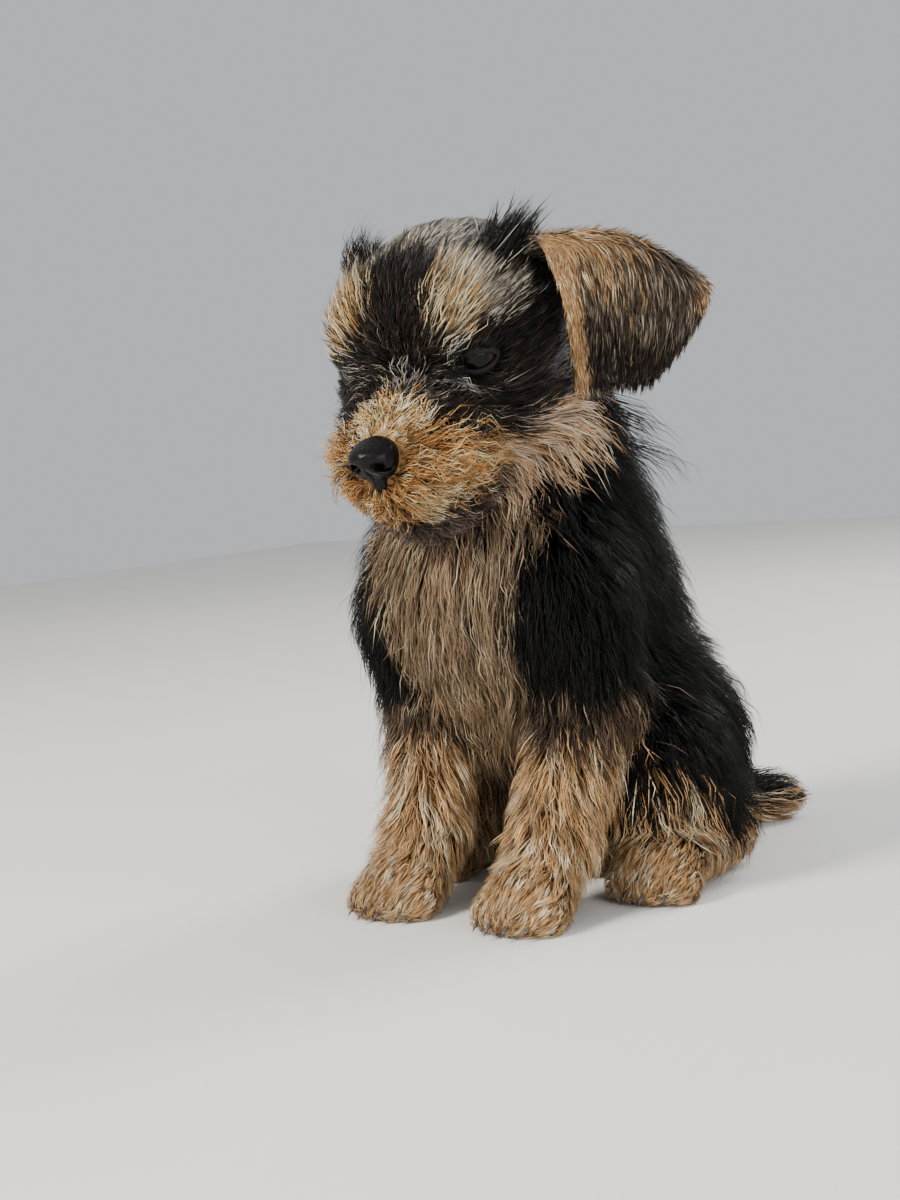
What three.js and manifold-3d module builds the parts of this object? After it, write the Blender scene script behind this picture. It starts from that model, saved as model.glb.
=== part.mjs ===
// A Yorkshire terrier puppy about eight weeks old, life size, sitting with its head turned a little
// to its left and looking down. Millimetres, +Z up. The puppy faces -Y and its left side is +X.
// Each part is a core, which is flesh with the undercoat, under flat tapered locks of coat that
// follow the body. Smooth fields of eggs and bones give the flesh of every part.

import * as THREE from "three";
import { mergeVertices } from "three/addons/utils/BufferGeometryUtils.js";
import Module from "manifold-3d";

const wasm = await Module();
wasm.setup();

// Driving dimensions
const GAP = 0.3; // between parts that touch
const SMALLEST_EDGE = 0.02;
const FAT = GAP + 0.15; // how much fatter the copies are that cut a part's neighbours clear
const LOCK_CLEARANCE = 2; // times as far from locks as from cores
const UNDERCOAT = 3.5; // how far the core stands off the flesh
const HEAD_UNDERCOAT = 2;
const LEG_UNDERCOAT = 2.8;
const PAW_UNDERCOAT = 0.8;
const HEAD_TURN = 10; // degrees to its left
const HEAD_NOD = 24; // degrees down
const SKULL_AT = [0, -31, 161];
const SKULL_HALF_WIDTH = 28;
const EYE_RADIUS = 7;
const EYE_SPACING = 39;
const EYE_OUT = 30; // degrees that each eye looks outwards
const EYE_PROUD = 1.6; // how far the ball stands past the flesh
const EYE_OPENING = [11, 6.2]; // width and height between the lids
const LID_THICKNESS = 1.5;
const NOSE_HALF_WIDTH = 6.8;
const NOSE_AT = [0, 56, -11.5]; // in the head's frame: left, forward and up of the skull's centre
const UPPER_LIP = -23.5; // heights of the lips in the head's frame
const LOWER_LIP = -27.5;
const CHEST_HALF_WIDTH = 30;
const RUMP_RADIUS = 32;
const ELBOW_HEIGHT = 58;
const FORELEG_SPREAD = 22; // from the middle to each forepaw
const HINDPAW_SPREAD = 39;
const EAR_THICKNESS = 2.6;
const LIP_RADIUS = 1.3;
const CLAW = { length: 6.5, radius: 1.2, slope: 32 }; // slope in degrees below level

// Locks: how long, wide and thick, how deep the root sits and how high the tip stands off the flesh
const TRUNK_LOCK = { length: 36, width: 20, thick: 3.6, sunk: 0, stand: 9.5 };
const NECK_LOCK = { length: 30, width: 17, thick: 3.4, sunk: 0, stand: 9 };
const HEAD_LOCK = { length: 17, width: 11, thick: 2.4, sunk: -1, stand: 5.5 };
const MUZZLE_LOCK = { length: 12, width: 7.5, thick: 2.2, sunk: -1, stand: 5.5 };
const TUFT_LOCK = { length: 13, width: 7.5, thick: 2.2, sunk: -1, stand: 9.5 };
const JAW_LOCK = { length: 14, width: 8, thick: 2.2, sunk: -1, stand: 6 };
const LEG_LOCK = { length: 26, width: 14, thick: 3, sunk: -0.5, stand: 7 };
const PAW_LOCK = { length: 12, width: 8, thick: 2, sunk: -1.5, stand: 3 };
const EAR_LOCK = { length: 34, width: 13, thick: 2, reach: 0.4 };
const EAR_WISP = { length: 13, width: 5.5, thick: 1.8 };
const TAIL_LOCK = { length: 24, width: 11, thick: 2.6, sunk: -0.5, stand: 6 };
const SIDES = { left: 1, right: -1 };

const radians = THREE.MathUtils.degToRad;
const mix = THREE.MathUtils.lerp;
const spot = (x, y, z) => new THREE.Vector3(x, y, z);
const UP = spot(0, 0, 1);
const BACK = spot(0, 1, 0);
const LEFT = spot(1, 0, 0);

// Random draws, the same ones at each build. The coat of each part has a seed of its own.
const SEEDS = {
  torso: 671,
  neck: 457,
  tail: 583,
  head: 317,
  jaw: 691,
  foreleg_left: 527,
  foreleg_right: 531,
  forepaw_left: 174,
  forepaw_right: 515,
  hindleg_left: 829,
  hindleg_right: 363,
  hindpaw_left: 576,
  hindpaw_right: 520,
  ear_left: 258,
  ear_right: 473,
};
let drawn = 0;
function random(low = 0, high = 1) {
  drawn = (Math.imul(drawn, 1664525) + 1013904223) >>> 0;
  return low + (high - low) * (drawn / 4294967296);
}

// Shapes of flesh: each gives a point's distance from its surface, negative inside
function egg(at, radii, tilt = 0) {
  const centre = spot(...at);
  const untilt = new THREE.Matrix4().makeRotationX(-radians(tilt));
  return (point) => {
    const p = point.clone().sub(centre).applyMatrix4(untilt);
    const scaled = Math.hypot(p.x / radii[0], p.y / radii[1], p.z / radii[2]);
    const slope = Math.hypot(p.x / radii[0] ** 2, p.y / radii[1] ** 2, p.z / radii[2] ** 2);
    return slope < 1e-6 ? -Math.min(...radii) : (scaled * (scaled - 1)) / slope;
  };
}

function bone(from, to, fromRadius, toRadius) {
  const start = spot(...from);
  const along = spot(...to).sub(start);
  return (point) => {
    const p = point.clone().sub(start);
    const share = THREE.MathUtils.clamp(p.dot(along) / along.lengthSq(), 0, 1);
    return p.addScaledVector(along, -share).length() - mix(fromRadius, toRadius, share);
  };
}

// The shapes run into one another over about `reach` millimetres.
function blend(shapes, reach) {
  return (point) => {
    let least = Infinity;
    for (const shape of shapes) {
      const next = shape(point);
      const near = Math.max(reach - Math.abs(least - next), 0) / reach;
      least = Math.min(least, next) - (near * near * reach) / 4;
    }
    return least;
  };
}

function outward(field, point) {
  const step = 0.5;
  const slope = (axis) => {
    const ahead = field(point.clone().addScaledVector(axis, step));
    const behind = field(point.clone().addScaledVector(axis, -step));
    return ahead - behind;
  };
  return spot(slope(LEFT), slope(BACK), slope(UP)).normalize();
}

// The point where a ray from inside reaches the height `level` over the flesh
function surfacePoint(field, start, direction, level) {
  const point = start.clone();
  for (let i = 0; i < 80; i++) {
    const left = level - field(point);
    if (left < 0.005) break;
    point.addScaledVector(direction, left * 0.8);
  }
  return point;
}

// Head frame: a point given as left, forward and up of the skull's centre
const headFrame = new THREE.Matrix4()
  .makeTranslation(...SKULL_AT)
  .multiply(new THREE.Matrix4().makeRotationZ(radians(HEAD_TURN)))
  .multiply(new THREE.Matrix4().makeRotationX(radians(HEAD_NOD)));
const headSpot = (left, forward, up) => spot(left, -forward, up).applyMatrix4(headFrame);
const headWay = (left, forward, up) => spot(left, -forward, up).transformDirection(headFrame);
const toHead = headFrame.clone().invert();

// The same shapes in the head's frame, where -Y is still forward
const onHead = (shape) => (point) => shape(point.clone().applyMatrix4(toHead));
const headEgg = (left, forward, up, radii, tilt) => onHead(egg([left, -forward, up], radii, tilt));
const headBone = (a, b, ra, rb) => onHead(bone([a[0], -a[1], a[2]], [b[0], -b[1], b[2]], ra, rb));

const HEAD_FLESH = blend(
  [
    headEgg(0, -4, 2, [SKULL_HALF_WIDTH, 30, 24]),
    headEgg(0, 9, 4, [22, 18, 18]),
    headEgg(0, 3, -19, [19, 19, 12]),
    ...[-1, 1].flatMap((s) => [
      headEgg(s * 16, 8, -12, [12, 16, 13]),
      headEgg(s * 12, 20, 5, [8, 7, 5.5]),
      headEgg(s * 5.8, 44, -20, [7.5, 9, 8]),
    ]),
    headBone([0, 20, -13], [0, 47, -16], 12.5, 8.5),
    headEgg(0, 35, -19, [13.5, 16, 10]),
  ],
  9,
);
const JAW_FLESH = blend(
  [headBone([0, 12, -28], [0, 42, -30], 9.5, 6.5), headEgg(0, 28, -29, [12, 18, 7])],
  5,
);

const NECK_FLESH = bone([0, -4, 104], [0, -19, 146], 30, 25.5);
const TRUNK_LEAN = 28; // degrees that the back leans from upright
const TORSO_FLESH = blend(
  [
    egg([0, -6, 86], [CHEST_HALF_WIDTH, 31, 42], TRUNK_LEAN),
    egg([0, -25, 90], [21, 14, 22]),
    egg([0, 9, 58], [29, 29, 34], TRUNK_LEAN),
    egg([0, 28, RUMP_RADIUS - 1.2], [RUMP_RADIUS + 1, RUMP_RADIUS, RUMP_RADIUS]),
    bone([0, -2, 112], [0, 20, 80], 20, 22),
  ],
  14,
);
const TAIL_POINTS = [spot(0, 47, 24), spot(2, 63, 14), spot(10, 79, 8.5), spot(23, 90, 7.5)];
const TAIL_RADIUS = 7.5;
const TAIL_TAPER = 1.4; // from each point of the tail to the next
const tailBone = (i) => {
  const radius = TAIL_RADIUS - TAIL_TAPER * i;
  return bone(TAIL_POINTS[i].toArray(), TAIL_POINTS[i + 1].toArray(), radius, radius - TAIL_TAPER);
};
const TAIL_FLESH = blend([tailBone(0), tailBone(1), tailBone(2)], 3);

const ELBOW = (s) => [s * 26, -18, ELBOW_HEIGHT];
const WRIST = (s) => [s * FORELEG_SPREAD, -35, 18];
const forelegFlesh = (s) =>
  blend(
    [
      egg([s * 24, -20, 86], [12, 17, 22]),
      bone([s * 26, -24, 80], ELBOW(s), 13, 10.5),
      bone(ELBOW(s), WRIST(s), 9.8, 7.2),
    ],
    8,
  );
const HOCK = (s) => [s * (HINDPAW_SPREAD - 1), 32, 10];
const hindlegFlesh = (s) =>
  blend(
    [
      egg([s * 26, 20, 38], [15, 27, 25], -20),
      bone([s * 33, 4, 36], [s * 34, -1, 32], 14, 12),
      bone([s * 35, 0, 30], [s * 35, 16, 22], 12, 10.5),
    ],
    8,
  );

// A paw is a pad of flesh with four toes: `at` is the middle of the foot and `heel` its back.
const TOE_SPREAD = 5.6;
const TOE_RADIUS = 4.7;
const toeSpots = ([x, y]) =>
  [-1.5, -0.5, 0.5, 1.5].map((k) => [x + k * TOE_SPREAD, y - 9 + Math.abs(k) * 2.4, TOE_RADIUS - 0.4]);
const pawFlesh = (at, heel) => {
  const toes = toeSpots(at).map((toe) => egg(toe, [4.4, 6, TOE_RADIUS]));
  return blend([egg([at[0], at[1], 8], [10.5, 11, 8]), bone(heel, at, 7.4, 7), ...toes], 2.6);
};
const FOREPAW_AT = (s) => [s * FORELEG_SPREAD, -45, 7];
const HINDPAW_AT = (s) => [s * HINDPAW_SPREAD, -6, 7];

const WHOLE_FLESH = blend(
  [
    HEAD_FLESH,
    JAW_FLESH,
    NECK_FLESH,
    TORSO_FLESH,
    TAIL_FLESH,
    ...[-1, 1].flatMap((s) => [
      forelegFlesh(s),
      hindlegFlesh(s),
      pawFlesh(FOREPAW_AT(s), WRIST(s)),
      pawFlesh(HINDPAW_AT(s), HOCK(s)),
    ]),
  ],
  6,
);

// Solids: manifold bodies made from three.js geometries
function solid(geometry) {
  const bare = geometry.clone();
  bare.deleteAttribute("normal");
  bare.deleteAttribute("uv");
  const merged = mergeVertices(bare, 1e-3);
  const triVerts = new Uint32Array(merged.index.array);
  const vertProperties = new Float32Array(merged.attributes.position.array);
  const made = new wasm.Manifold(new wasm.Mesh({ numProp: 3, vertProperties, triVerts }));
  if (made.volume() > 0) return made;
  for (let i = 0; i < triVerts.length; i += 3) {
    [triVerts[i + 1], triVerts[i + 2]] = [triVerts[i + 2], triVerts[i + 1]];
  }
  return new wasm.Manifold(new wasm.Mesh({ numProp: 3, vertProperties, triVerts }));
}

const join = (solids) => wasm.Manifold.union(solids);
const largest = (body) => body.decompose().sort((a, b) => b.volume() - a.volume())[0];

// A capsule bent along a curve. `push` takes a place on the axis and a ray out from it, and gives
// the point of the skin. The sides are counted round from the `pole`.
function bentCapsule(axis, { rings, sides, caps = 4, pole = LEFT }, push) {
  const curve = new THREE.CatmullRomCurve3(axis);
  const template = new THREE.CapsuleGeometry(1, 1, caps, sides, rings);
  const normals = template.attributes.normal;
  const places = template.attributes.position;
  for (let i = 0; i < places.count; i++) {
    const share = THREE.MathUtils.clamp(places.getY(i) + 0.5, 0, 1);
    const along = curve.getTangent(share);
    const side = pole.clone().addScaledVector(along, -along.dot(pole)).normalize();
    const across = along.clone().cross(side);
    const ray = side
      .multiplyScalar(normals.getX(i))
      .addScaledVector(along, normals.getY(i))
      .addScaledVector(across, normals.getZ(i))
      .normalize();
    const point = push(curve.getPoint(share), ray);
    places.setXYZ(i, point.x, point.y, point.z);
  }
  return solid(template);
}

// A bent capsule whose skin is pushed out to the flesh's surface
function wrap(field, axis, shape, fat) {
  return bentCapsule(axis, shape, (start, ray) => {
    const point = surfacePoint(field, start, ray, shape.level ?? 0);
    return fat > 0 ? point.addScaledVector(outward(field, point), fat) : point;
  });
}

// A bent capsule of one radius all along
const roll = (axis, radius, shape) =>
  bentCapsule(axis, shape, (start, ray) => start.addScaledVector(ray, radius));

// A lock of coat is a flat blade with a ridge, three sides round, from its sunk root to its tip.
// Its sides and ridge slope, so its fatter copy is moved out further there than at its base.
const LOCK_STEPS = 3;
const FAT_SIDES = 2.5;
const FAT_RIDGE = 1.8;
const FAT_BASE = 0.8;
const FULLEST = 0.3; // how much wider a lock is half way along than at its root
function lockAlong(points, normals, { width, thick }, fat) {
  const blade = new THREE.ConeGeometry(1, 1, 3, LOCK_STEPS);
  const places = blade.attributes.position;
  for (let i = 0; i < places.count; i++) {
    const row = Math.round((places.getY(i) + 0.5) * LOCK_STEPS);
    const share = row / LOCK_STEPS;
    const around = Math.hypot(places.getX(i), places.getZ(i));
    const cross = around > 1e-6 ? [places.getX(i) / around, places.getZ(i) / around] : [0, 0];
    const before = points[Math.max(row - 1, 0)];
    const after = points[Math.min(row + 1, LOCK_STEPS)];
    const along = after.clone().sub(before).normalize();
    const side = normals[row].clone().cross(along).normalize();
    const swell = 1 - FULLEST / 2 + FULLEST * Math.sin(Math.PI * share);
    const taper = share < 1 ? Math.sqrt(1 - share) * swell : 0;
    const away = Math.sign(cross[1]) * (cross[1] > 0 ? FAT_RIDGE : FAT_BASE);
    const lift = cross[1] * (thick / 1.5) * taper + away * fat;
    const point = points[row]
      .clone()
      .addScaledVector(side, cross[0] * ((width / 2) * taper + FAT_SIDES * fat))
      .addScaledVector(normals[row], lift)
      .addScaledVector(along, share === 1 ? fat * 2 : share === 0 ? -fat : 0);
    places.setXYZ(i, point.x, point.y, point.z);
  }
  return solid(blade);
}

// Walks from a root over the body along the lie of the coat, rising from the core to the tips.
function walk(root, lie, size) {
  const points = [];
  const normals = [];
  const point = root.clone();
  for (let i = 0; i <= LOCK_STEPS; i++) {
    const height = mix(size.sunk, size.stand, Math.sin((Math.PI / 2) * (i / LOCK_STEPS)));
    const normal = outward(WHOLE_FLESH, point);
    point.addScaledVector(normal, height - WHOLE_FLESH(point));
    points.push(point.clone());
    normals.push(normal);
    const way = lie(point);
    way.addScaledVector(normal, -way.dot(normal)).normalize();
    point.addScaledVector(way, size.length / LOCK_STEPS);
  }
  return { points, normals };
}

// Roots over a part's flesh, each at least `spacing` from the others and clear of the parts beside it
const ROOT_TRIES = 1400;
function spreadRoots(field, axis, spacing, grows) {
  const curve = new THREE.CatmullRomCurve3(axis);
  const roots = [];
  for (let i = 0; i < ROOT_TRIES; i++) {
    const ray = spot(random(-1, 1), random(-1, 1), random(-1, 1)).normalize();
    const root = surfacePoint(field, curve.getPoint(random()), ray, 0);
    const apart = roots.every((other) => other.distanceTo(root) > spacing);
    if (apart && WHOLE_FLESH(root) > -1 && grows(root)) roots.push(root);
  }
  return roots;
}

// One lock from each root, its size and lie a little varied
function coat(roots, lie, size) {
  const locks = roots.map((root) => {
    const grown = {
      ...size,
      length: size.length * random(0.85, 1.15),
      width: size.width * random(0.85, 1.15),
      stand: size.stand * random(0.85, 1.1),
    };
    const sway = spot(random(-0.2, 0.2), random(-0.2, 0.2), random(-0.2, 0.2));
    const { points, normals } = walk(root, (point) => lie(point).normalize().add(sway), grown);
    return (fat) => lockAlong(points, normals, grown, fat * LOCK_CLEARANCE);
  });
  return locks.filter(isStraight);
}

// A lock that a crease twists sticks out of its own fatter copy.
const isStraight = (lock) => lock(0).subtract(lock(FAT / 2)).volume() < 1e-4;

// The lie of the coat: back from the nose, down the neck, trunk and legs, and along the tail
function headLie(point) {
  const { x, y, z } = point.clone().applyMatrix4(toHead);
  const muzzle = THREE.MathUtils.smoothstep(-y, 24, 34);
  const low = THREE.MathUtils.smoothstep(-z, -4, 10);
  const outwards = Math.sign(x) * mix(0.25, 0.5, muzzle);
  return headWay(outwards, mix(-1, -0.35, muzzle * low), mix(0.25, -0.8, low));
}
const jawLie = () => headWay(0, -0.8, -0.5);
const trunkLie = (point) => spot(Math.sign(point.x) * 0.08, point.y < -20 ? -0.15 : 0.4, -1);
const legLie = () => spot(0, 0.08, -1);
const pawLie = () => spot(0, -1, -0.3);
function tailLie(point) {
  const nearest = TAIL_POINTS.reduce((a, b) => (a.distanceTo(point) < b.distanceTo(point) ? a : b));
  const i = Math.min(TAIL_POINTS.indexOf(nearest), TAIL_POINTS.length - 2);
  return TAIL_POINTS[i + 1].clone().sub(TAIL_POINTS[i]).add(spot(0, 0, -2));
}

// Parts, each a core and its locks, built again a little fatter to cut its neighbours clear
const parts = {};
function addPart(name, makeCore, growLocks = () => []) {
  drawn = SEEDS[name] ?? 0;
  parts[name] = { makeCore, locks: growLocks() };
}
function bodyOf(name, fat) {
  const part = parts[name];
  const key = fat > 0 ? "fatBody" : "body";
  part[key] ??= join([part.makeCore(fat), ...part.locks.map((lock) => lock(fat))]);
  return part[key];
}

const span = (...points) => points.map((p) => (p.isVector3 ? p : spot(...p)));
const clearOf = (field, distance) => (point) => field(point) > distance;

// Trunk, neck and tail
const TORSO_AXIS = span([0, 26, 34], [0, 11, 66], [0, -8, 100]);
const NECK_AXIS = span([0, -6, 109], [0, -18, 143]);
const besideLegs = (point) =>
  [-1, 1].every((s) => forelegFlesh(s)(point) > 5 && hindlegFlesh(s)(point) > 5) && point.z > 12;
const onTrunk = (point) => besideLegs(point) && NECK_FLESH(point) > 8 && TAIL_FLESH(point) > 5;
addPart(
  "torso",
  (fat) => wrap(TORSO_FLESH, TORSO_AXIS, { rings: 6, sides: 16, level: UNDERCOAT }, fat),
  () => coat(spreadRoots(TORSO_FLESH, TORSO_AXIS, 16.5, onTrunk), trunkLie, TRUNK_LOCK),
);
const onNeck = (point) => HEAD_FLESH(point) > 7 && JAW_FLESH(point) > 9;
addPart(
  "neck",
  (fat) => wrap(NECK_FLESH, NECK_AXIS, { rings: 4, sides: 16, caps: 2, level: UNDERCOAT }, fat),
  () => coat(spreadRoots(NECK_FLESH, NECK_AXIS, 15, onNeck), trunkLie, NECK_LOCK),
);
addPart(
  "tail",
  (fat) => wrap(TAIL_FLESH, TAIL_POINTS, { rings: 6, sides: 10, caps: 2, level: UNDERCOAT * 0.7 }, fat),
  () => coat(spreadRoots(TAIL_FLESH, TAIL_POINTS, 11, clearOf(TORSO_FLESH, 4)), tailLie, TAIL_LOCK),
);

// Head and jaw
const HEAD_AXIS = span(headSpot(0, -10, 0), headSpot(0, 14, -5), headSpot(0, 44, -17));
const JAW_AXIS = span(headSpot(0, 14, -28), headSpot(0, 42, -30));
const faceBare = (point) => {
  const { x, y, z } = point.clone().applyMatrix4(toHead);
  const eye = Math.hypot(Math.abs(x) - EYE_SPACING / 2, -y - 24, z - 1);
  const nose = Math.hypot(x, -y - NOSE_AT[1], z - NOSE_AT[2]);
  return eye > 9 && nose > 10 && JAW_FLESH(point) > 2.5;
};
const isForward = (point) => -point.clone().applyMatrix4(toHead).y > 27;
const onSkull = (point) => faceBare(point) && !isForward(point);
const onMuzzle = (point) => faceBare(point) && isForward(point);

// Tufts that stand up over the brows and at the roots of the ears, each from two roots side by side
const TUFTS = [
  { at: [12, 22, 12], way: [0.5, 0.1, 1] },
  { at: [20, 4, 19], way: [0.3, -0.1, 1] },
];
const tufts = (s) =>
  TUFTS.flatMap(({ at, way }) => {
    const [left, forward, up] = at;
    const roots = [-3, 3].map((aside) => {
      const ray = headWay(s * (left + aside), forward, up + 4);
      return surfacePoint(HEAD_FLESH, headSpot(0, 0, -4), ray, 0);
    });
    return coat(roots, () => headWay(s * way[0], way[1], way[2]), TUFT_LOCK);
  });

// Lips: a roll along each side of the mouth, from the middle of the front to the corner
const LIP_TURNS = [4, 35, 62, 84, 100]; // degrees round from the front
const lip = (flesh, up, s, fat) => {
  const places = LIP_TURNS.map((turned) => {
    const way = headWay(s * Math.sin(radians(turned)), Math.cos(radians(turned)), 0);
    return surfacePoint(flesh, headSpot(0, 30, up), way, HEAD_UNDERCOAT);
  });
  return roll(places, LIP_RADIUS + fat, { rings: 4, sides: 5, caps: 1, pole: UP });
};
const lips = (flesh, up, fat) => [lip(flesh, up, 1, fat), lip(flesh, up, -1, fat)];

addPart(
  "head",
  (fat) => {
    const core = wrap(HEAD_FLESH, HEAD_AXIS, { rings: 14, sides: 20, level: HEAD_UNDERCOAT }, fat);
    return join([core, ...lips(HEAD_FLESH, UPPER_LIP, fat)]);
  },
  () => [
    ...coat(spreadRoots(HEAD_FLESH, HEAD_AXIS, 16.5, onSkull), headLie, HEAD_LOCK),
    ...coat(spreadRoots(HEAD_FLESH, HEAD_AXIS, 10.5, onMuzzle), headLie, MUZZLE_LOCK),
    ...tufts(1),
    ...tufts(-1),
  ],
);
const onJaw = (point) => HEAD_FLESH(point) > 1.5 && NECK_FLESH(point) > 3;
addPart(
  "jaw",
  (fat) => {
    const core = wrap(JAW_FLESH, JAW_AXIS, { rings: 5, sides: 12, caps: 3, level: HEAD_UNDERCOAT }, fat);
    return join([core, ...lips(JAW_FLESH, LOWER_LIP, fat)]);
  },
  () => coat(spreadRoots(JAW_FLESH, JAW_AXIS, 8, onJaw), jawLie, JAW_LOCK),
);

// A short claw from the front of each toe, sloping down to the floor
const claws = (at) =>
  toeSpots(at).map(([x, y, z]) => () => {
    const claw = new THREE.ConeGeometry(CLAW.radius, CLAW.length, 5);
    claw.rotateY(0.3);
    claw.rotateX(radians(90 + CLAW.slope));
    const reach = CLAW.length / 2;
    const down = Math.sin(radians(CLAW.slope)) * reach;
    claw.translate(x, y - 3.3 - Math.cos(radians(CLAW.slope)) * reach, z + 1 - down);
    return solid(claw);
  });

// Legs and paws
const PAW_SHAPE = { sides: 14, caps: 3, level: PAW_UNDERCOAT };
for (const [side, s] of Object.entries(SIDES)) {
  const forelegAxis = span([s * 24, -20, 90], ELBOW(s), [s * 22.6, -32, 25]);
  const onForeleg = (point) => point.z > 22 && TORSO_FLESH(point) > 2 && NECK_FLESH(point) > 8;
  addPart(
    `foreleg_${side}`,
    (fat) => wrap(forelegFlesh(s), forelegAxis, { rings: 6, sides: 10, caps: 2, level: LEG_UNDERCOAT }, fat),
    () => coat(spreadRoots(forelegFlesh(s), forelegAxis, 15, onForeleg), legLie, LEG_LOCK),
  );
  const forepawAxis = span(WRIST(s), [s * FORELEG_SPREAD, -42, 10], [s * FORELEG_SPREAD, -50, 6]);
  const forepaw = pawFlesh(FOREPAW_AT(s), WRIST(s));
  addPart(
    `forepaw_${side}`,
    (fat) => wrap(forepaw, forepawAxis, { rings: 4, ...PAW_SHAPE }, fat),
    () => [
      ...coat(spreadRoots(forepaw, forepawAxis, 11, (p) => p.z > 8 && p.y < -38), pawLie, PAW_LOCK),
      ...claws(FOREPAW_AT(s)),
    ],
  );
  const hindlegAxis = span([s * 27, 32, 36], [s * 30, 16, 36], [s * 34, 4, 33]);
  const onHindleg = (point) => point.z > 22 && TORSO_FLESH(point) > 4 && TAIL_FLESH(point) > 8;
  addPart(
    `hindleg_${side}`,
    (fat) => wrap(hindlegFlesh(s), hindlegAxis, { rings: 4, sides: 12, caps: 3, level: LEG_UNDERCOAT }, fat),
    () => coat(spreadRoots(hindlegFlesh(s), hindlegAxis, 14, onHindleg), legLie, LEG_LOCK),
  );
  const hindpawAxis = span(HOCK(s), [s * HINDPAW_SPREAD, 8, 8], [s * HINDPAW_SPREAD, -10, 6]);
  const hindpaw = pawFlesh(HINDPAW_AT(s), HOCK(s));
  addPart(
    `hindpaw_${side}`,
    (fat) => wrap(hindpaw, hindpawAxis, { rings: 5, ...PAW_SHAPE }, fat),
    () => [
      ...coat(spreadRoots(hindpaw, hindpawAxis, 11, (p) => p.z > 8 && p.y < 0), pawLie, PAW_LOCK),
      ...claws(HINDPAW_AT(s)),
    ],
  );
}

// Eyes, with lids that leave an almond between them
const eyes = {};
for (const [side, s] of Object.entries(SIDES)) {
  const gaze = headWay(s * Math.sin(radians(EYE_OUT)), Math.cos(radians(EYE_OUT)), -0.06);
  const inside = headSpot(s * (EYE_SPACING / 2 - 10), 8, 1);
  const surface = surfacePoint(HEAD_FLESH, inside, gaze, 0);
  eyes[side] = { gaze, centre: surface.addScaledVector(gaze, EYE_PROUD - EYE_RADIUS) };
  const ball = (radius) => {
    const geometry = new THREE.SphereGeometry(radius, 14, 9);
    geometry.translate(...eyes[side].centre.toArray());
    return solid(geometry);
  };
  addPart(`eye_${side}`, (fat) => ball(EYE_RADIUS + fat));
  eyes[side].lids = () => ball(EYE_RADIUS + LID_THICKNESS);
  eyes[side].opening = () => {
    const [wide, high] = EYE_OPENING;
    const almond = new THREE.Shape();
    almond.moveTo(-wide / 2, 0);
    almond.quadraticCurveTo(0, high, wide / 2, 0);
    almond.quadraticCurveTo(0, -high, -wide / 2, 0);
    const prism = new THREE.ExtrudeGeometry(almond, { depth: 30, bevelEnabled: false, curveSegments: 8 });
    const across = headWay(Math.cos(radians(EYE_OUT)), -s * Math.sin(radians(EYE_OUT)), s * 0.12);
    const upward = gaze.clone().cross(across).normalize();
    prism.applyMatrix4(new THREE.Matrix4().makeBasis(across, upward, gaze).setPosition(eyes[side].centre));
    return solid(prism);
  };
}

// Nose leather with its two nostrils
const NOSE_FLESH = blend(
  [
    headEgg(NOSE_AT[0], NOSE_AT[1], NOSE_AT[2] + 1.2, [NOSE_HALF_WIDTH - 0.8, 6.4, 5.2]),
    ...[-1, 1].map((s) => {
      const wing = s * (NOSE_HALF_WIDTH - 3.2);
      return headEgg(wing, NOSE_AT[1] - 0.5, NOSE_AT[2] - 0.8, [3.4, 5.2, 4.4]);
    }),
    headEgg(0, NOSE_AT[1] - 1, NOSE_AT[2] - 4.4, [2.6, 4, 3.4]),
  ],
  2,
);
function nostrils() {
  return [-1, 1].map((s) => {
    const hole = new THREE.SphereGeometry(1, 8, 6);
    hole.scale(1.5, 4, 1.3);
    hole.rotateZ(radians(-s * 28));
    hole.translate(s * 3.3, -(NOSE_AT[1] + 4.4), NOSE_AT[2] - 0.2);
    hole.applyMatrix4(headFrame);
    return solid(hole);
  });
}
addPart("nose", (fat) =>
  wrap(
    NOSE_FLESH,
    span(headSpot(-1.5, NOSE_AT[1], NOSE_AT[2]), headSpot(1.5, NOSE_AT[1], NOSE_AT[2])),
    { rings: 3, sides: 12, caps: 3 },
    fat,
  ),
);

// Ears: a leaf of leather that rises from the skull, folds over and hangs, with a cup below the fold.
// Points are left, forward and up of the skull's centre, for the ear of the left side.
const EAR_SHAPES = {
  left: {
    base: [[20, -1, 16], [25, -24, 2]],
    ridge: [[32, -4, 20], [50, -14, 13], [67, -24, -4]],
    tip: [[36, 3, -18], [49, -13, -25]],
    swell: 6,
  },
  right: {
    base: [[18, -3, 17], [23, -24, 5]],
    ridge: [[26, -7, 20], [34, -21, 15], [37, -33, 3]],
    tip: [[36, -14, -15], [34, -24, -18]],
    swell: 4,
  },
};
function earLeaf(side) {
  const { base, ridge, tip, swell } = EAR_SHAPES[side];
  const s = SIDES[side];
  const place = ([left, forward, up]) => headSpot(s * left, forward, up);
  const ridgeCurve = new THREE.CatmullRomCurve3(ridge.map(place));
  const line = ([a, b]) => (share) => place(a).lerp(place(b), share);
  return (across, down) => {
    const fold = ridgeCurve.getPoint(across);
    const root = line(base)(across);
    const end = line(tip)(across);
    const out = headWay(s * 0.8, 0.5, 0.3);
    const flap = fold.clone().lerp(end, 0.5).addScaledVector(out, swell);
    const rise = root.clone().lerp(fold, 0.5).addScaledVector(out, -swell * 0.3);
    return new THREE.CatmullRomCurve3([root, rise, fold, flap, end]).getPoint(down);
  };
}
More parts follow.
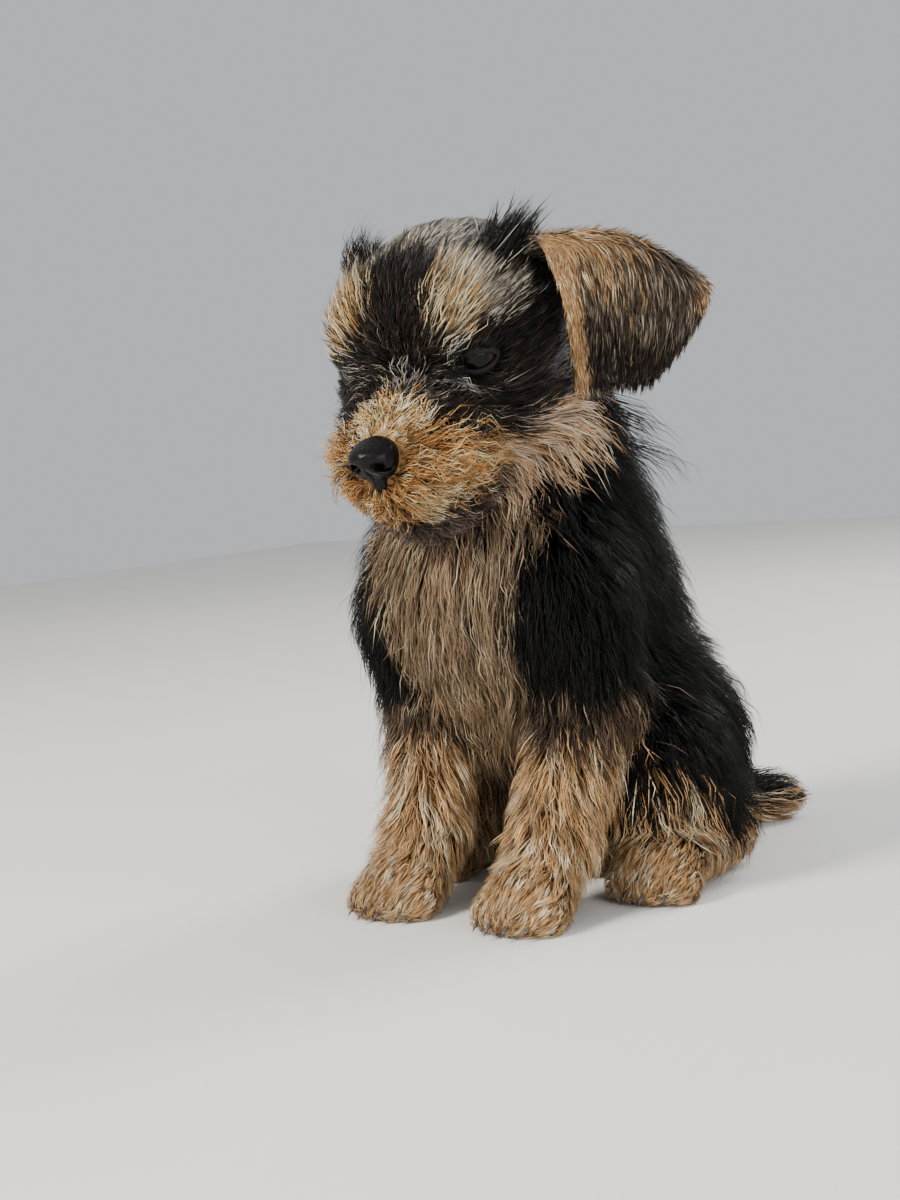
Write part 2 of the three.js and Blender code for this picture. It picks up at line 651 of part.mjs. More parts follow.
function leafFrame(leaf, across, down) {
  const step = 0.02;
  const inRange = (value) => THREE.MathUtils.clamp(value, step, 1 - step);
  const [a, d] = [inRange(across), inRange(down)];
  const side = leaf(a + step, d).sub(leaf(a - step, d)).normalize();
  const along = leaf(a, d + step).sub(leaf(a, d - step)).normalize();
  return { side, along, normal: side.clone().cross(along).normalize() };
}
// A closed sheet over a grid of the leaf, thinner at its edges
function sheet(leaf, thickness, columns, rows, fat) {
  const shape = new THREE.BoxGeometry(1, 1, 1, columns, rows, 1);
  const places = shape.attributes.position;
  const edge = (share) => (share < 0.01 ? -1 : share > 0.99 ? 1 : 0);
  for (let i = 0; i < places.count; i++) {
    const across = places.getX(i) + 0.5;
    const down = places.getY(i) + 0.5;
    const thin = edge(across) || edge(down) > 0 ? 0.45 : 1;
    const frame = leafFrame(leaf, across, down);
    const point = leaf(across, down)
      .addScaledVector(frame.normal, places.getZ(i) * (thickness * thin + 2 * fat))
      .addScaledVector(frame.side, edge(across) * fat)
      .addScaledVector(frame.along, edge(down) * fat);
    places.setXYZ(i, point.x, point.y, point.z);
  }
  // The last face is split the other way round, so both sides of the sheet have the same triangles.
  const { start, count } = shape.groups[5];
  for (let i = start; i < start + count; i += 6) {
    const [a, b, d, , c] = shape.index.array.slice(i, i + 6);
    shape.index.array.set([a, b, c, a, c, d], i);
  }
  return solid(shape);
}
// Locks run down the outside of the flap, and the last row hangs past its edge.
const EAR_LOCK_ROWS = [0.5, 0.82];
const EAR_LOCKS_A_ROW = 4;
function earLock(leaf, s, across, down, size) {
  const points = [];
  const normals = [];
  for (let i = 0; i <= LOCK_STEPS; i++) {
    const reached = down + (i / LOCK_STEPS) * size.reach;
    const onLeaf = Math.min(reached, 0.97);
    const { normal, along } = leafFrame(leaf, across, onLeaf);
    normal.multiplyScalar(-s);
    const lift = mix(EAR_THICKNESS * 0.1, EAR_THICKNESS * 0.9, Math.min(i / 2, 1));
    const hang = (reached - onLeaf) * size.length;
    points.push(leaf(across, onLeaf).addScaledVector(normal, lift).addScaledVector(along, hang));
    normals.push(normal);
  }
  return (fat) => lockAlong(points, normals, size, fat * LOCK_CLEARANCE);
}
// Wisps stand out past the edge at the back of the flap, below its fold.
const EAR_WISPS = [0.42, 0.56, 0.7];
function earWisp(leaf, s, down, size) {
  const { side, along, normal } = leafFrame(leaf, 0.95, down);
  const way = side.addScaledVector(along, 0.3).normalize();
  const start = leaf(0.93, down).addScaledVector(way, -size.length * 0.3);
  const steps = Array.from({ length: LOCK_STEPS + 1 }, (_, i) => (i / LOCK_STEPS) * size.length);
  const points = steps.map((reached) => start.clone().addScaledVector(way, reached));
  const normals = steps.map(() => normal.clone().multiplyScalar(-s));
  return (fat) => lockAlong(points, normals, size, fat * LOCK_CLEARANCE);
}
for (const [side, s] of Object.entries(SIDES)) {
  const leaf = earLeaf(side);
  const flapLock = (row, i) => {
    const across = (i + 0.5 + 0.3 * (row - 0.5)) / EAR_LOCKS_A_ROW;
    return earLock(leaf, s, across, EAR_LOCK_ROWS[row] + random(-0.03, 0.03), EAR_LOCK);
  };
  const grow = () => [
    ...EAR_LOCK_ROWS.flatMap((_, row) =>
      Array.from({ length: EAR_LOCKS_A_ROW }, (_, i) => flapLock(row, i)),
    ),
    ...EAR_WISPS.map((down) => earWisp(leaf, s, down + random(-0.03, 0.03), EAR_WISP)),
  ];
  addPart(`ear_${side}`, (fat) => sheet(leaf, EAR_THICKNESS, 5, 10, fat), grow);
}

// The order in which parts give way: each is cut clear of those named here.
const GIVES_WAY = {
  head: ["eye_left", "eye_right", "nose", "jaw", "ear_left", "ear_right"],
  jaw: ["nose"],
  neck: ["head", "jaw", "ear_left", "ear_right"],
  torso: ["neck", "jaw", "head", "foreleg_left", "foreleg_right", "hindleg_left", "hindleg_right", "tail"],
  foreleg_left: ["neck"],
  foreleg_right: ["neck"],
  forepaw_left: ["foreleg_left"],
  forepaw_right: ["foreleg_right"],
  hindpaw_left: ["hindleg_left", "torso"],
  hindpaw_right: ["hindleg_right", "torso"],
  hindleg_left: ["foreleg_left", "tail"],
  hindleg_right: ["foreleg_right", "tail"],
};
const MATERIALS = {
  black: { color: 0x171514, roughness: 0.75 },
  tan: { color: 0xb98552, roughness: 0.8 },
  leather: { color: 0x151314, roughness: 0.45 },
  eye: { color: 0x120c09, roughness: 0.08 },
};
const FINISH = {
  torso: "black",
  neck: "black",
  tail: "black",
  nose: "leather",
  eye_left: "eye",
  eye_right: "eye",
  ear_left: "black",
  ear_right: "black",
};

function meshOf(name) {
  let body = bodyOf(name, 0);
  if (name === "head") body = body.add(join([eyes.left.lids(), eyes.right.lids()]));
  if (name === "head") body = body.subtract(join([eyes.left.opening(), eyes.right.opening()]));
  if (name === "nose") body = body.subtract(join(nostrils()));
  const others = GIVES_WAY[name] ?? [];
  if (others.length) body = body.subtract(join(others.map((other) => bodyOf(other, FAT))));
  const trimmed = body.trimByPlane([0, 0, 1], 0).simplify(SMALLEST_EDGE);
  const { vertProperties, triVerts } = largest(trimmed).getMesh();
  const geometry = new THREE.BufferGeometry();
  geometry.setAttribute("position", new THREE.BufferAttribute(vertProperties, 3));
  geometry.setIndex(new THREE.BufferAttribute(triVerts, 1));
  const mesh = new THREE.Mesh(geometry, new THREE.MeshStandardMaterial(MATERIALS[FINISH[name] ?? "tan"]));
  mesh.name = name;
  return mesh;
}

const puppy = new THREE.Group();
for (const name of Object.keys(parts)) puppy.add(meshOf(name));

// The origin is on the floor, under the middle of the puppy's box.
const box = new THREE.Box3().setFromObject(puppy, true);
puppy.position.set(-(box.min.x + box.max.x) / 2, -(box.min.y + box.max.y) / 2, -box.min.z);

export default puppy;
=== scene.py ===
"""A Yorkshire terrier puppy sitting on a pale floor: its looks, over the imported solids.

The skin and the coat grow from the same smooth fields of eggs and bones as the solids' flesh.
Fields work in millimetres, where the puppy faces -Y, its left is +X and the floor is z = 0.
"""

import math

import bpy
import numpy as np
from mathutils import Matrix, Vector
from mathutils.kdtree import KDTree


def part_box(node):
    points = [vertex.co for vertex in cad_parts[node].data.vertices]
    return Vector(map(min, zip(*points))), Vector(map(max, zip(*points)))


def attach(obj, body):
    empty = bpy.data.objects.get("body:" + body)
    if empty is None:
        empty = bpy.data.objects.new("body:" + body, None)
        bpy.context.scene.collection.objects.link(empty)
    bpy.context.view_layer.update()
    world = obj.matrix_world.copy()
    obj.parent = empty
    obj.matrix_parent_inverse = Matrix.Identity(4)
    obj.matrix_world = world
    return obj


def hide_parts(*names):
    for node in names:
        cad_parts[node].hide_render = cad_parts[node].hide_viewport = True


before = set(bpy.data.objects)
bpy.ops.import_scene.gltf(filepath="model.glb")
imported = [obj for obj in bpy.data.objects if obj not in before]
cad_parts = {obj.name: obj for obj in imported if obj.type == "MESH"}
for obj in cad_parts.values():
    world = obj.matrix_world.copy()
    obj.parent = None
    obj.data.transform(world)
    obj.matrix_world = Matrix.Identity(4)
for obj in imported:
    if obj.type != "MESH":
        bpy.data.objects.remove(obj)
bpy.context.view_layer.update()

rng = np.random.default_rng(11)

# Sizes that the solids have too
HEAD_TURN = 10
HEAD_NOD = 24
SKULL_AT = np.array((0, -31, 161))
SKULL_HALF_WIDTH = 28
EYE_RADIUS = 7
EYE_SPACING = 39
EYE_OUT = 30
EYE_PROUD = 1.6
NOSE_AT = np.array((0, 56, -11.5))
CHEST_HALF_WIDTH = 30
RUMP_RADIUS = 32
TRUNK_LEAN = 28
ELBOW_HEIGHT = 58
FORELEG_SPREAD = 22
HINDPAW_SPREAD = 39
EAR_THICKNESS = 2.2
TOE_SPREAD = 5.6
TOE_RADIUS = 4.7

# Sizes of the looks alone, some of them finer than in the solids, as the nose, the lids and the claws
SKIN_CELL = 1.4
NOSE_CELL = 0.45
EAR_REACH = 6
FAR_AWAY = 40.0
NOSE_HALF_WIDTH = 6
EYE_OPENING = (10.4, 4.0)
LID_THICKNESS = 1.0
CORNEA_RISE = 0.35
CLAW_LENGTH = 6.6
CLAW_DROP = 3.8
CLAW_WIDTH = 2.3
FLOOR_GAP = 0.3
FLOOR_HALF = 1500

# Sizes of the coat, and how much its hairs differ
SUNK = 0.7
CLUMP = 8
STRAYS = 0.04
LONG_STEPS = 3
SHORT_STEPS = 2
WIDTH_SPREAD = (0.7, 1.3)
SWAY = 0.16
CURL = 0.24
CLUMP_PULL = 0.8
TAPER = 0.75
THICKNESS_SHARE = 0.7
BARE_ROUND_NOSE = 5.8
BARE_ROUND_OPENING = 1.12
EYE_REACH = 12.25
PATCH = 0.003
PIECE_FACES = 190_000
DENSITY = 1.0


def smooth(value, low, high):
    """0 up to low and 1 from high on, with a smooth rise between"""
    t = np.clip((value - low) / (high - low), 0, 1)
    return t * t * (3 - 2 * t)


def fade(value, low, high):
    return 1 - smooth(value, low, high)


def unit(vectors):
    return vectors / (np.linalg.norm(vectors, axis=-1, keepdims=True) + 1e-9)


def dots(a, b):
    return np.sum(a * b, axis=-1, keepdims=True)


def lengths(vectors):
    return np.linalg.norm(vectors, axis=-1)


def tree_of(points):
    """A tree that finds the nearest of these points"""
    tree = KDTree(len(points))
    for i, point in enumerate(points):
        tree.insert(point, i)
    tree.balance()
    return tree


def nearest_in(tree, points):
    return np.array([tree.find(point)[1] for point in points], int)


# Shapes of flesh: each gives the distance of points from its surface, negative inside.
def egg(at, radii, tilt=0.0):
    at, radii = np.array(at, float), np.array(radii, float)
    c, s = math.cos(math.radians(tilt)), math.sin(math.radians(tilt))
    upright = np.array([[1, 0, 0], [0, c, s], [0, -s, c]])

    def shape(points):
        q = (points - at) @ upright.T
        scaled = lengths(q / radii)
        slope = lengths(q / radii**2) + 1e-9
        return scaled * (scaled - 1) / slope

    return shape


def bone(start, end, start_radius, end_radius):
    start, end = np.array(start, float), np.array(end, float)
    along = end - start

    def shape(points):
        share = np.clip((points - start) @ along / (along @ along), 0, 1)
        nearest = start + share[:, None] * along
        radius = start_radius + (end_radius - start_radius) * share
        return lengths(points - nearest) - radius

    return shape


def merge(distances, reach):
    least = distances[0]
    for other in distances[1:]:
        near = np.clip(1 - np.abs(least - other) / reach, 0, 1)
        least = np.minimum(least, other) - near * near * reach / 4
    return least


def blend(shapes, reach):
    return lambda points: merge([shape(points) for shape in shapes], reach)


def outward(field, points, step=0.4):
    """The unit vectors along which the field grows fastest."""
    ways = [field(points + step * axis) - field(points - step * axis) for axis in np.eye(3)]
    return unit(np.stack(ways, axis=1))


def reach_surface(field, start, way, level=0.0):
    """The point where a ray from inside reaches the level over the flesh."""
    point = np.array([start], float)
    for _ in range(80):
        point = point + way * (level - field(point)[:, None]) * 0.8
    return point[0]


# Head frame: points given as left, forward and up of the skull's centre
turn, nod = math.radians(HEAD_TURN), math.radians(HEAD_NOD)
HEAD_AXES = np.array(Matrix.Rotation(turn, 3, "Z") @ Matrix.Rotation(nod, 3, "X"))
FORWARD = np.array([1, -1, 1])


def head_way(left, forward, up):
    return HEAD_AXES @ np.array([left, -forward, up], float)


def head_spot(left, forward, up):
    return head_way(left, forward, up) + SKULL_AT


def head_places(points):
    """Left, forward and up of each point."""
    return (points - SKULL_AT) @ HEAD_AXES * FORWARD


def folded_places(points):
    """Left, forward and up of each point, with the right side laid on the left one"""
    h = head_places(points)
    h[:, 0] = np.abs(h[:, 0])
    return h


def on_head(shape):
    return lambda points: shape((points - SKULL_AT) @ HEAD_AXES)


def head_egg(left, forward, up, radii):
    return on_head(egg((left, -forward, up), radii))


def head_bone(a, b, a_radius, b_radius):
    return on_head(bone((a[0], -a[1], a[2]), (b[0], -b[1], b[2]), a_radius, b_radius))


SIDES = {"left": 1, "right": -1}
head_shapes = [
    head_egg(0, -4, 2, (SKULL_HALF_WIDTH, 30, 24)),
    head_egg(0, 9, 4, (22, 18, 18)),
    head_egg(0, 3, -19, (19, 19, 12)),
]
for s in (-1, 1):
    head_shapes.append(head_egg(s * 16, 8, -12, (12, 16, 13)))
    head_shapes.append(head_egg(s * 12, 20, 5, (8, 7, 5.5)))
    head_shapes.append(head_egg(s * 5.8, 44, -20, (7.5, 9, 8)))
head_shapes.append(head_bone((0, 20, -13), (0, 47, -16), 12.5, 8.5))
head_shapes.append(head_egg(0, 35, -19, (13.5, 16, 10)))
HEAD = blend(head_shapes, 9)
JAW = blend([head_bone((0, 12, -28), (0, 42, -30), 9.5, 6.5), head_egg(0, 28, -29, (12, 18, 7))], 5)
NECK = bone((0, -4, 104), (0, -19, 146), 30, 25.5)
TORSO = blend(
    [
        egg((0, -6, 86), (CHEST_HALF_WIDTH, 31, 42), TRUNK_LEAN),
        egg((0, -25, 90), (21, 14, 22)),
        egg((0, 9, 58), (29, 29, 34), TRUNK_LEAN),
        egg((0, 28, RUMP_RADIUS - 1.2), (RUMP_RADIUS + 1, RUMP_RADIUS, RUMP_RADIUS)),
        bone((0, -2, 112), (0, 20, 80), 20, 22),
    ],
    14,
)
TAIL_POINTS = np.array([(0, 47, 24), (2, 63, 14), (10, 79, 8.5), (23, 90, 7.5)], float)
TAIL = blend(
    [bone(TAIL_POINTS[i], TAIL_POINTS[i + 1], 7.5 - 1.4 * i, 6.1 - 1.4 * i) for i in range(3)], 3
)


def elbow(s):
    return (s * 26, -18, ELBOW_HEIGHT)


def wrist(s):
    return (s * FORELEG_SPREAD, -35, 18)


def hock(s):
    return (s * (HINDPAW_SPREAD - 1), 32, 10)


def forepaw_at(s):
    return (s * FORELEG_SPREAD, -45, 7)


def hindpaw_at(s):
    return (s * HINDPAW_SPREAD, -6, 7)


def foreleg(s):
    shoulder = egg((s * 24, -20, 86), (12, 17, 22))
    upper = bone((s * 26, -24, 80), elbow(s), 13, 10.5)
    return blend([shoulder, upper, bone(elbow(s), wrist(s), 9.8, 7.2)], 8)


def hindleg(s):
    thigh = egg((s * 26, 20, 38), (15, 27, 25), -20)
    knee = bone((s * 33, 4, 36), (s * 34, -1, 32), 14, 12)
    return blend([thigh, knee, bone((s * 35, 0, 30), (s * 35, 16, 22), 12, 10.5)], 8)


def toe_spots(at):
    """Where the four toes of a paw are, the middle ones further ahead"""
    spots = []
    for k in (-1.5, -0.5, 0.5, 1.5):
        spots.append((at[0] + k * TOE_SPREAD, at[1] - 9 + abs(k) * 2.4, TOE_RADIUS - 0.4))
    return spots


def paw(at, heel):
    toes = [egg(spot, (4.4, 6, TOE_RADIUS)) for spot in toe_spots(at)]
    return blend([egg((at[0], at[1], 8), (10.5, 11, 8)), bone(heel, at, 7.4, 7)] + toes, 2.6)


PARTS = {"head": HEAD, "jaw": JAW, "neck": NECK, "torso": TORSO, "tail": TAIL}
for s in (-1, 1):
    PARTS[f"foreleg{s}"] = foreleg(s)
    PARTS[f"hindleg{s}"] = hindleg(s)
    PARTS[f"forepaw{s}"] = paw(forepaw_at(s), wrist(s))
    PARTS[f"hindpaw{s}"] = paw(hindpaw_at(s), hock(s))


def whole(points):
    """The flesh of the whole puppy but its ears, with a crease left at the mouth"""
    distances = [shape(points) for shape in PARTS.values()]
    face = merge(distances[:2], 1.2)
    return merge([face] + distances[2:], 6)


# Eyes: where they sit, and the frame that each looks along. EYE_SPACING sets where the search for the place
# of an eye starts inside the head, so the middles of the eyes come out closer together than that.
eyes = {}
for side, s in SIDES.items():
    out = math.radians(EYE_OUT)
    gaze = unit(head_way(s * math.sin(out), math.cos(out), -0.06))
    surface = reach_surface(HEAD, head_spot(s * (EYE_SPACING / 2 - 10), 8, 1), gaze)
    across = unit(head_way(math.cos(out), -s * math.sin(out), s * -0.08))
    across = unit(across - gaze * (across @ gaze))
    eyes[side] = {
        "centre": surface + gaze * (EYE_PROUD - EYE_RADIUS),
        "gaze": gaze,
        "across": across,
        "upward": np.cross(gaze, across),
    }

# The solids stand with their box centred on the origin; the eye's place gives how far they moved.
eye_low, eye_high = (np.array(corner) * 1000 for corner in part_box("eye_left"))
OFFSET = (eye_low + eye_high) / 2 - eyes["left"]["centre"]


# Ears: a leaf of leather that rises from the skull, folds over and hangs
EARS = {
    "left": {
        "base": ((20, -1, 16), (25, -24, 2)),
        "ridge": ((32, -4, 20), (50, -14, 13), (65, -22.5, -4)),
        "tip": ((36, 3, -18), (49, -13, -25)),
        "swell": 6,
    },
    "right": {
        "base": ((18, -3, 17), (23, -24, 5)),
        "ridge": ((26, -7, 20), (34, -21, 15), (37, -33, 3)),
        "tip": ((36, -14, -15), (34, -24, -18)),
        "swell": 4,
    },
}


def through(knots, share):
    """Points along a smooth curve through knots, each an array of points, at shares from 0 to 1"""
    count = len(knots)
    knots = np.array(np.broadcast_arrays(*knots))
    ends = [2 * knots[0] - knots[1], 2 * knots[-1] - knots[-2]]
    padded = np.concatenate([ends[:1], knots, ends[1:]])
    place = np.clip(share, 0, 1) * (count - 1)
    first = np.minimum(place.astype(int), count - 2)
    t = (place - first)[:, None]
    rows = np.arange(len(share))
    a, b, c, d = (padded[first + i, rows] for i in range(4))
    ab, bc, cd = (np.sum((q - p) ** 2, axis=1)[:, None] ** 0.25 + 1e-6 for p, q in ((a, b), (b, c), (c, d)))
    leave = ((b - a) / ab - (c - a) / (ab + bc) + (c - b) / bc) * bc
    enter = ((c - b) / bc - (d - b) / (bc + cd) + (d - c) / cd) * bc
    return b + leave * t + (3 * (c - b) - 2 * leave - enter) * t**2 + (2 * (b - c) + leave + enter) * t**3


def ear_leaf(side, across, down):
    shape, s = EARS[side], SIDES[side]

    def place(spot):
        return head_spot(s * spot[0], spot[1], spot[2])

    def line(ends):
        return place(ends[0]) + across[:, None] * (place(ends[1]) - place(ends[0]))

    rows = np.ones((len(across), 1))
    fold = through([place(spot) * rows for spot in shape["ridge"]], across)
    root, end = line(shape["base"]), line(shape["tip"])
    out = unit(head_way(s * 0.8, 0.5, 0.3))
    flap = (fold + end) / 2 + out * shape["swell"]
    rise = (root + fold) / 2 - out * shape["swell"] * 0.3
    return through([root, rise, fold, flap, end], down)


class Ear:
    """A sampled leaf with its own frame at each sample"""

    def __init__(self, side, columns=48, rows=84):
        across, down = np.meshgrid(np.linspace(0, 1, columns), np.linspace(0, 1, rows))
        self.across, self.down = across.ravel(), down.ravel()
        self.points = ear_leaf(side, self.across, self.down)
        a, d = np.clip(self.across, 0.02, 0.98), np.clip(self.down, 0.02, 0.98)
        self.sideways = unit(ear_leaf(side, a + 0.02, d) - ear_leaf(side, a - 0.02, d))
        self.along = unit(ear_leaf(side, a, d + 0.02) - ear_leaf(side, a, d - 0.02))
        self.normals = -SIDES[side] * unit(np.cross(self.sideways, self.along))
        self.low, self.high = self.points.min(0) - EAR_REACH, self.points.max(0) + EAR_REACH
        self.tree = tree_of(self.points)

    def nearest(self, points):
        return nearest_in(self.tree, points)

    def distance(self, points):
        far = np.full(len(points), FAR_AWAY)
        near = np.all((points > self.low) & (points < self.high), axis=1)
        if near.any():
            i = self.nearest(points[near])
            gap = points[near] - self.points[i]
            flat = np.abs(np.sum(gap * self.normals[i], axis=1))
            aside = np.sqrt(np.maximum(np.sum(gap * gap, axis=1) - flat**2, 0))
            far[near] = np.hypot(flat, np.maximum(aside - 0.8, 0)) - EAR_THICKNESS / 2
        return far


ears = {side: Ear(side) for side in SIDES}


def eye_gap(points):
    """How far points are from the middle of the nearer eye"""
    return np.min([lengths(points - eye["centre"]) for eye in eyes.values()], axis=0)


def sockets(points):
    """How far points are from the hollows that hold the eyes"""
    return eye_gap(points) - EYE_RADIUS + 0.5


def skin_field(points):
    leather = [ear.distance(points) for ear in ears.values()]
    flesh = merge([whole(points)] + leather, 4)
    return np.maximum(flesh, -sockets(points))


# Meshes
def surface_net(field, low, high, cell, coarse=4):
    """A closed mesh of quads where the field is zero, with one corner in each cell it crosses"""
    low, high = np.array(low, float), np.array(high, float)
    counts = (np.ceil((high - low) / (cell * coarse)).astype(int) + 1) * coarse
    axes = [low[i] + cell * np.arange(counts[i]) for i in range(3)]
    coarse_axes = [axis[::coarse] + cell * (coarse - 1) / 2 for axis in axes]
    rough = np.stack(np.meshgrid(*coarse_axes, indexing="ij"), axis=-1).reshape(-1, 3)
    values = field(rough).reshape([len(axis) for axis in coarse_axes])
    for axis in range(3):
        values = np.repeat(values, coarse, axis=axis)
    fine = np.argwhere(np.abs(values) < cell * coarse * 1.6)
    values[tuple(fine.T)] = field(low + fine * cell)
    inside = values < 0

    corners = np.array([(i, j, k) for i in (0, 1) for j in (0, 1) for k in (0, 1)])
    size = np.array(values.shape) - 1
    filled = sum(inside[i : i + size[0], j : j + size[1], k : k + size[2]].astype(int) for i, j, k in corners)
    cells = np.argwhere((filled > 0) & (filled < 8))
    at_corners = values[tuple((cells[:, None] + corners).transpose(2, 0, 1))]
    total, crossings = np.zeros((len(cells), 3)), np.zeros((len(cells), 1))
    for a, b in ((a, b) for a in range(8) for b in range(a + 1, 8)):
        if np.abs(corners[a] - corners[b]).sum() != 1:
            continue
        crosses = (at_corners[:, a] < 0) != (at_corners[:, b] < 0)
        gap = np.where(crosses, at_corners[:, a] - at_corners[:, b], 1)
        share = (at_corners[:, a] / gap)[:, None]
        total += np.where(crosses[:, None], corners[a] + share * (corners[b] - corners[a]), 0)
        crossings += crosses[:, None]
    points = low + (cells + total / crossings) * cell

    number = np.full(tuple(size), -1)
    number[tuple(cells.T)] = np.arange(len(cells))
    quads = []
    for axis in range(3):
        b, c = np.eye(3, dtype=int)[[(axis + 1) % 3, (axis + 2) % 3]]
        ahead = np.take(inside, range(1, inside.shape[axis]), axis)
        behind = np.take(inside, range(inside.shape[axis] - 1), axis)
        edges = np.argwhere(ahead != behind)
        edges = edges[np.all(edges[:, [(axis + 1) % 3, (axis + 2) % 3]] > 0, axis=1)]
        ring = [number[tuple((edges - way).T)] for way in (b + c, c, 0 * b, b)]
        quad = np.stack(ring, axis=1)
        leaves = behind[tuple(edges.T)]
        quads.append(np.where(leaves[:, None], quad, quad[:, ::-1]))
    return points, np.concatenate(quads)


def facing_out(points, faces):
    """Turns a closed mesh's faces round if they face inwards."""
    a, b, c = (points[faces[:, i]] - points.mean(0) for i in range(3))
    return faces if np.sum(a * np.cross(b, c)) > 0 else faces[:, ::-1]


def settle(field, points, rounds=3):
    """Moves points onto the field's surface."""
    for _ in range(rounds):
        points = points - outward(field, points, 0.3) * field(points)[:, None] * 0.9
    return points


def make_mesh(name, points, faces):
    """A mesh object, smooth, from millimetres in the fields' frame"""
    mesh = bpy.data.meshes.new(name)
    sides = faces.shape[1]
    mesh.vertices.add(len(points))
    mesh.vertices.foreach_set("co", ((points + OFFSET) / 1000).astype(np.float32).ravel())
    mesh.loops.add(faces.size)
    mesh.loops.foreach_set("vertex_index", faces.astype(np.int32).ravel())
    mesh.polygons.add(len(faces))
    mesh.polygons.foreach_set("loop_start", np.arange(0, faces.size, sides, dtype=np.int32))
    mesh.polygons.foreach_set("use_smooth", np.ones(len(faces), dtype=bool))
    mesh.update(calc_edges=True)
    made = bpy.data.objects.new(name, mesh)
    bpy.context.scene.collection.objects.link(made)
    return made


def set_colours(mesh, colours):
    """Keeps a colour at each point, which the materials read as the pelt's."""
    layer = mesh.color_attributes.new("pelt", "FLOAT_COLOR", "POINT")
    full = np.ones((len(colours), 4), np.float32)
    full[:, :3] = colours
    layer.data.foreach_set("color", full.ravel())


# Markings: each pelt has the colour of its roots, its tips and the streaks among it, and their share
def shade(code):
    """Linear colour from a hex code"""
    values = np.array([int(code[i : i + 2], 16) for i in (0, 2, 4)]) / 255
    return np.where(values < 0.04045, values / 12.92, ((values + 0.055) / 1.055) ** 2.4)


PELTS = {
    "black": ("030303", "060605", "171615", 0.05),
    "crown": ("0c0a0a", "1d1a18", "b0a89d", 0.24),
    # The silver pelt is the real silver streaking of the forehead, and also the painted sheen on top of the
    # crown
    "silver_and_sheen": ("15110f", "54493d", "e6dac1", 0.56),
    "mask": ("0c0a08", "1e1713", "57453a", 0.12),
    "brow": ("38281b", "b48a54", "f0dbac", 0.48),
    "gold": ("50341a", "bf884c", "f2d9a4", 0.26),
    "cream": ("9c7540", "ecca8e", "fdf0cd", 0.42),
    "cheek": ("9a7757", "e0b88e", "f5e2c7", 0.28),
    "chin": ("221a16", "66544a", "9c897b", 0.22),
    "bib": ("4f3f30", "9a8063", "bcaa8c", 0.22),
    "tan": ("785737", "d0a573", "f2dfbb", 0.28),
    "smoke": ("2b221c", "5c4938", "937d64", 0.22),
    "ear": ("13100e", "5f5143", "b3a692", 0.24),
    "ear_tan": ("85633f", "d2a877", "edd7b0", 0.24),
}
PELT = {name: number for number, name in enumerate(PELTS)}
ROOT_COLOURS, TIP_COLOURS, STREAKS = (np.array([shade(p[i]) for p in PELTS.values()]) for i in range(3))
STREAK_SHARES = np.array([pelt[3] for pelt in PELTS.values()])

# How far and how quickly the edges of the markings waver
RIPPLE = 1.1
RIPPLE_LENGTH = (1.3, 1.7, 1.5)

# Lower edges of the dark mask and of the pale cheek, from the back of the head to its front
MASK_FORWARD = (-10, 0, 10, 19, 26, 36, 44, 50, 56)
MASK_LOW = (-20, -19, -17.5, -18, -19, -16.5, -13, -10, -4)
CHEEK_FORWARD = (-6, 3, 15, 23, 30, 44)
CHEEK_LOW = (-27, -28.5, -31, -34, -38, -49)

# Where dark tufts stand up: at the root of the ear, and two on the neck below it
TUFT_AT = (21, 3, 19)
RUFFS_AT = ((31, -9, -28), (32, -12, -41))


def spot_mask(places, middle, radii, edge=0.35):
    """1 inside an ellipsoid, falling to 0 outside it"""
    away = lengths((places - middle) / radii)
    return fade(away, 1 - edge, 1 + edge)


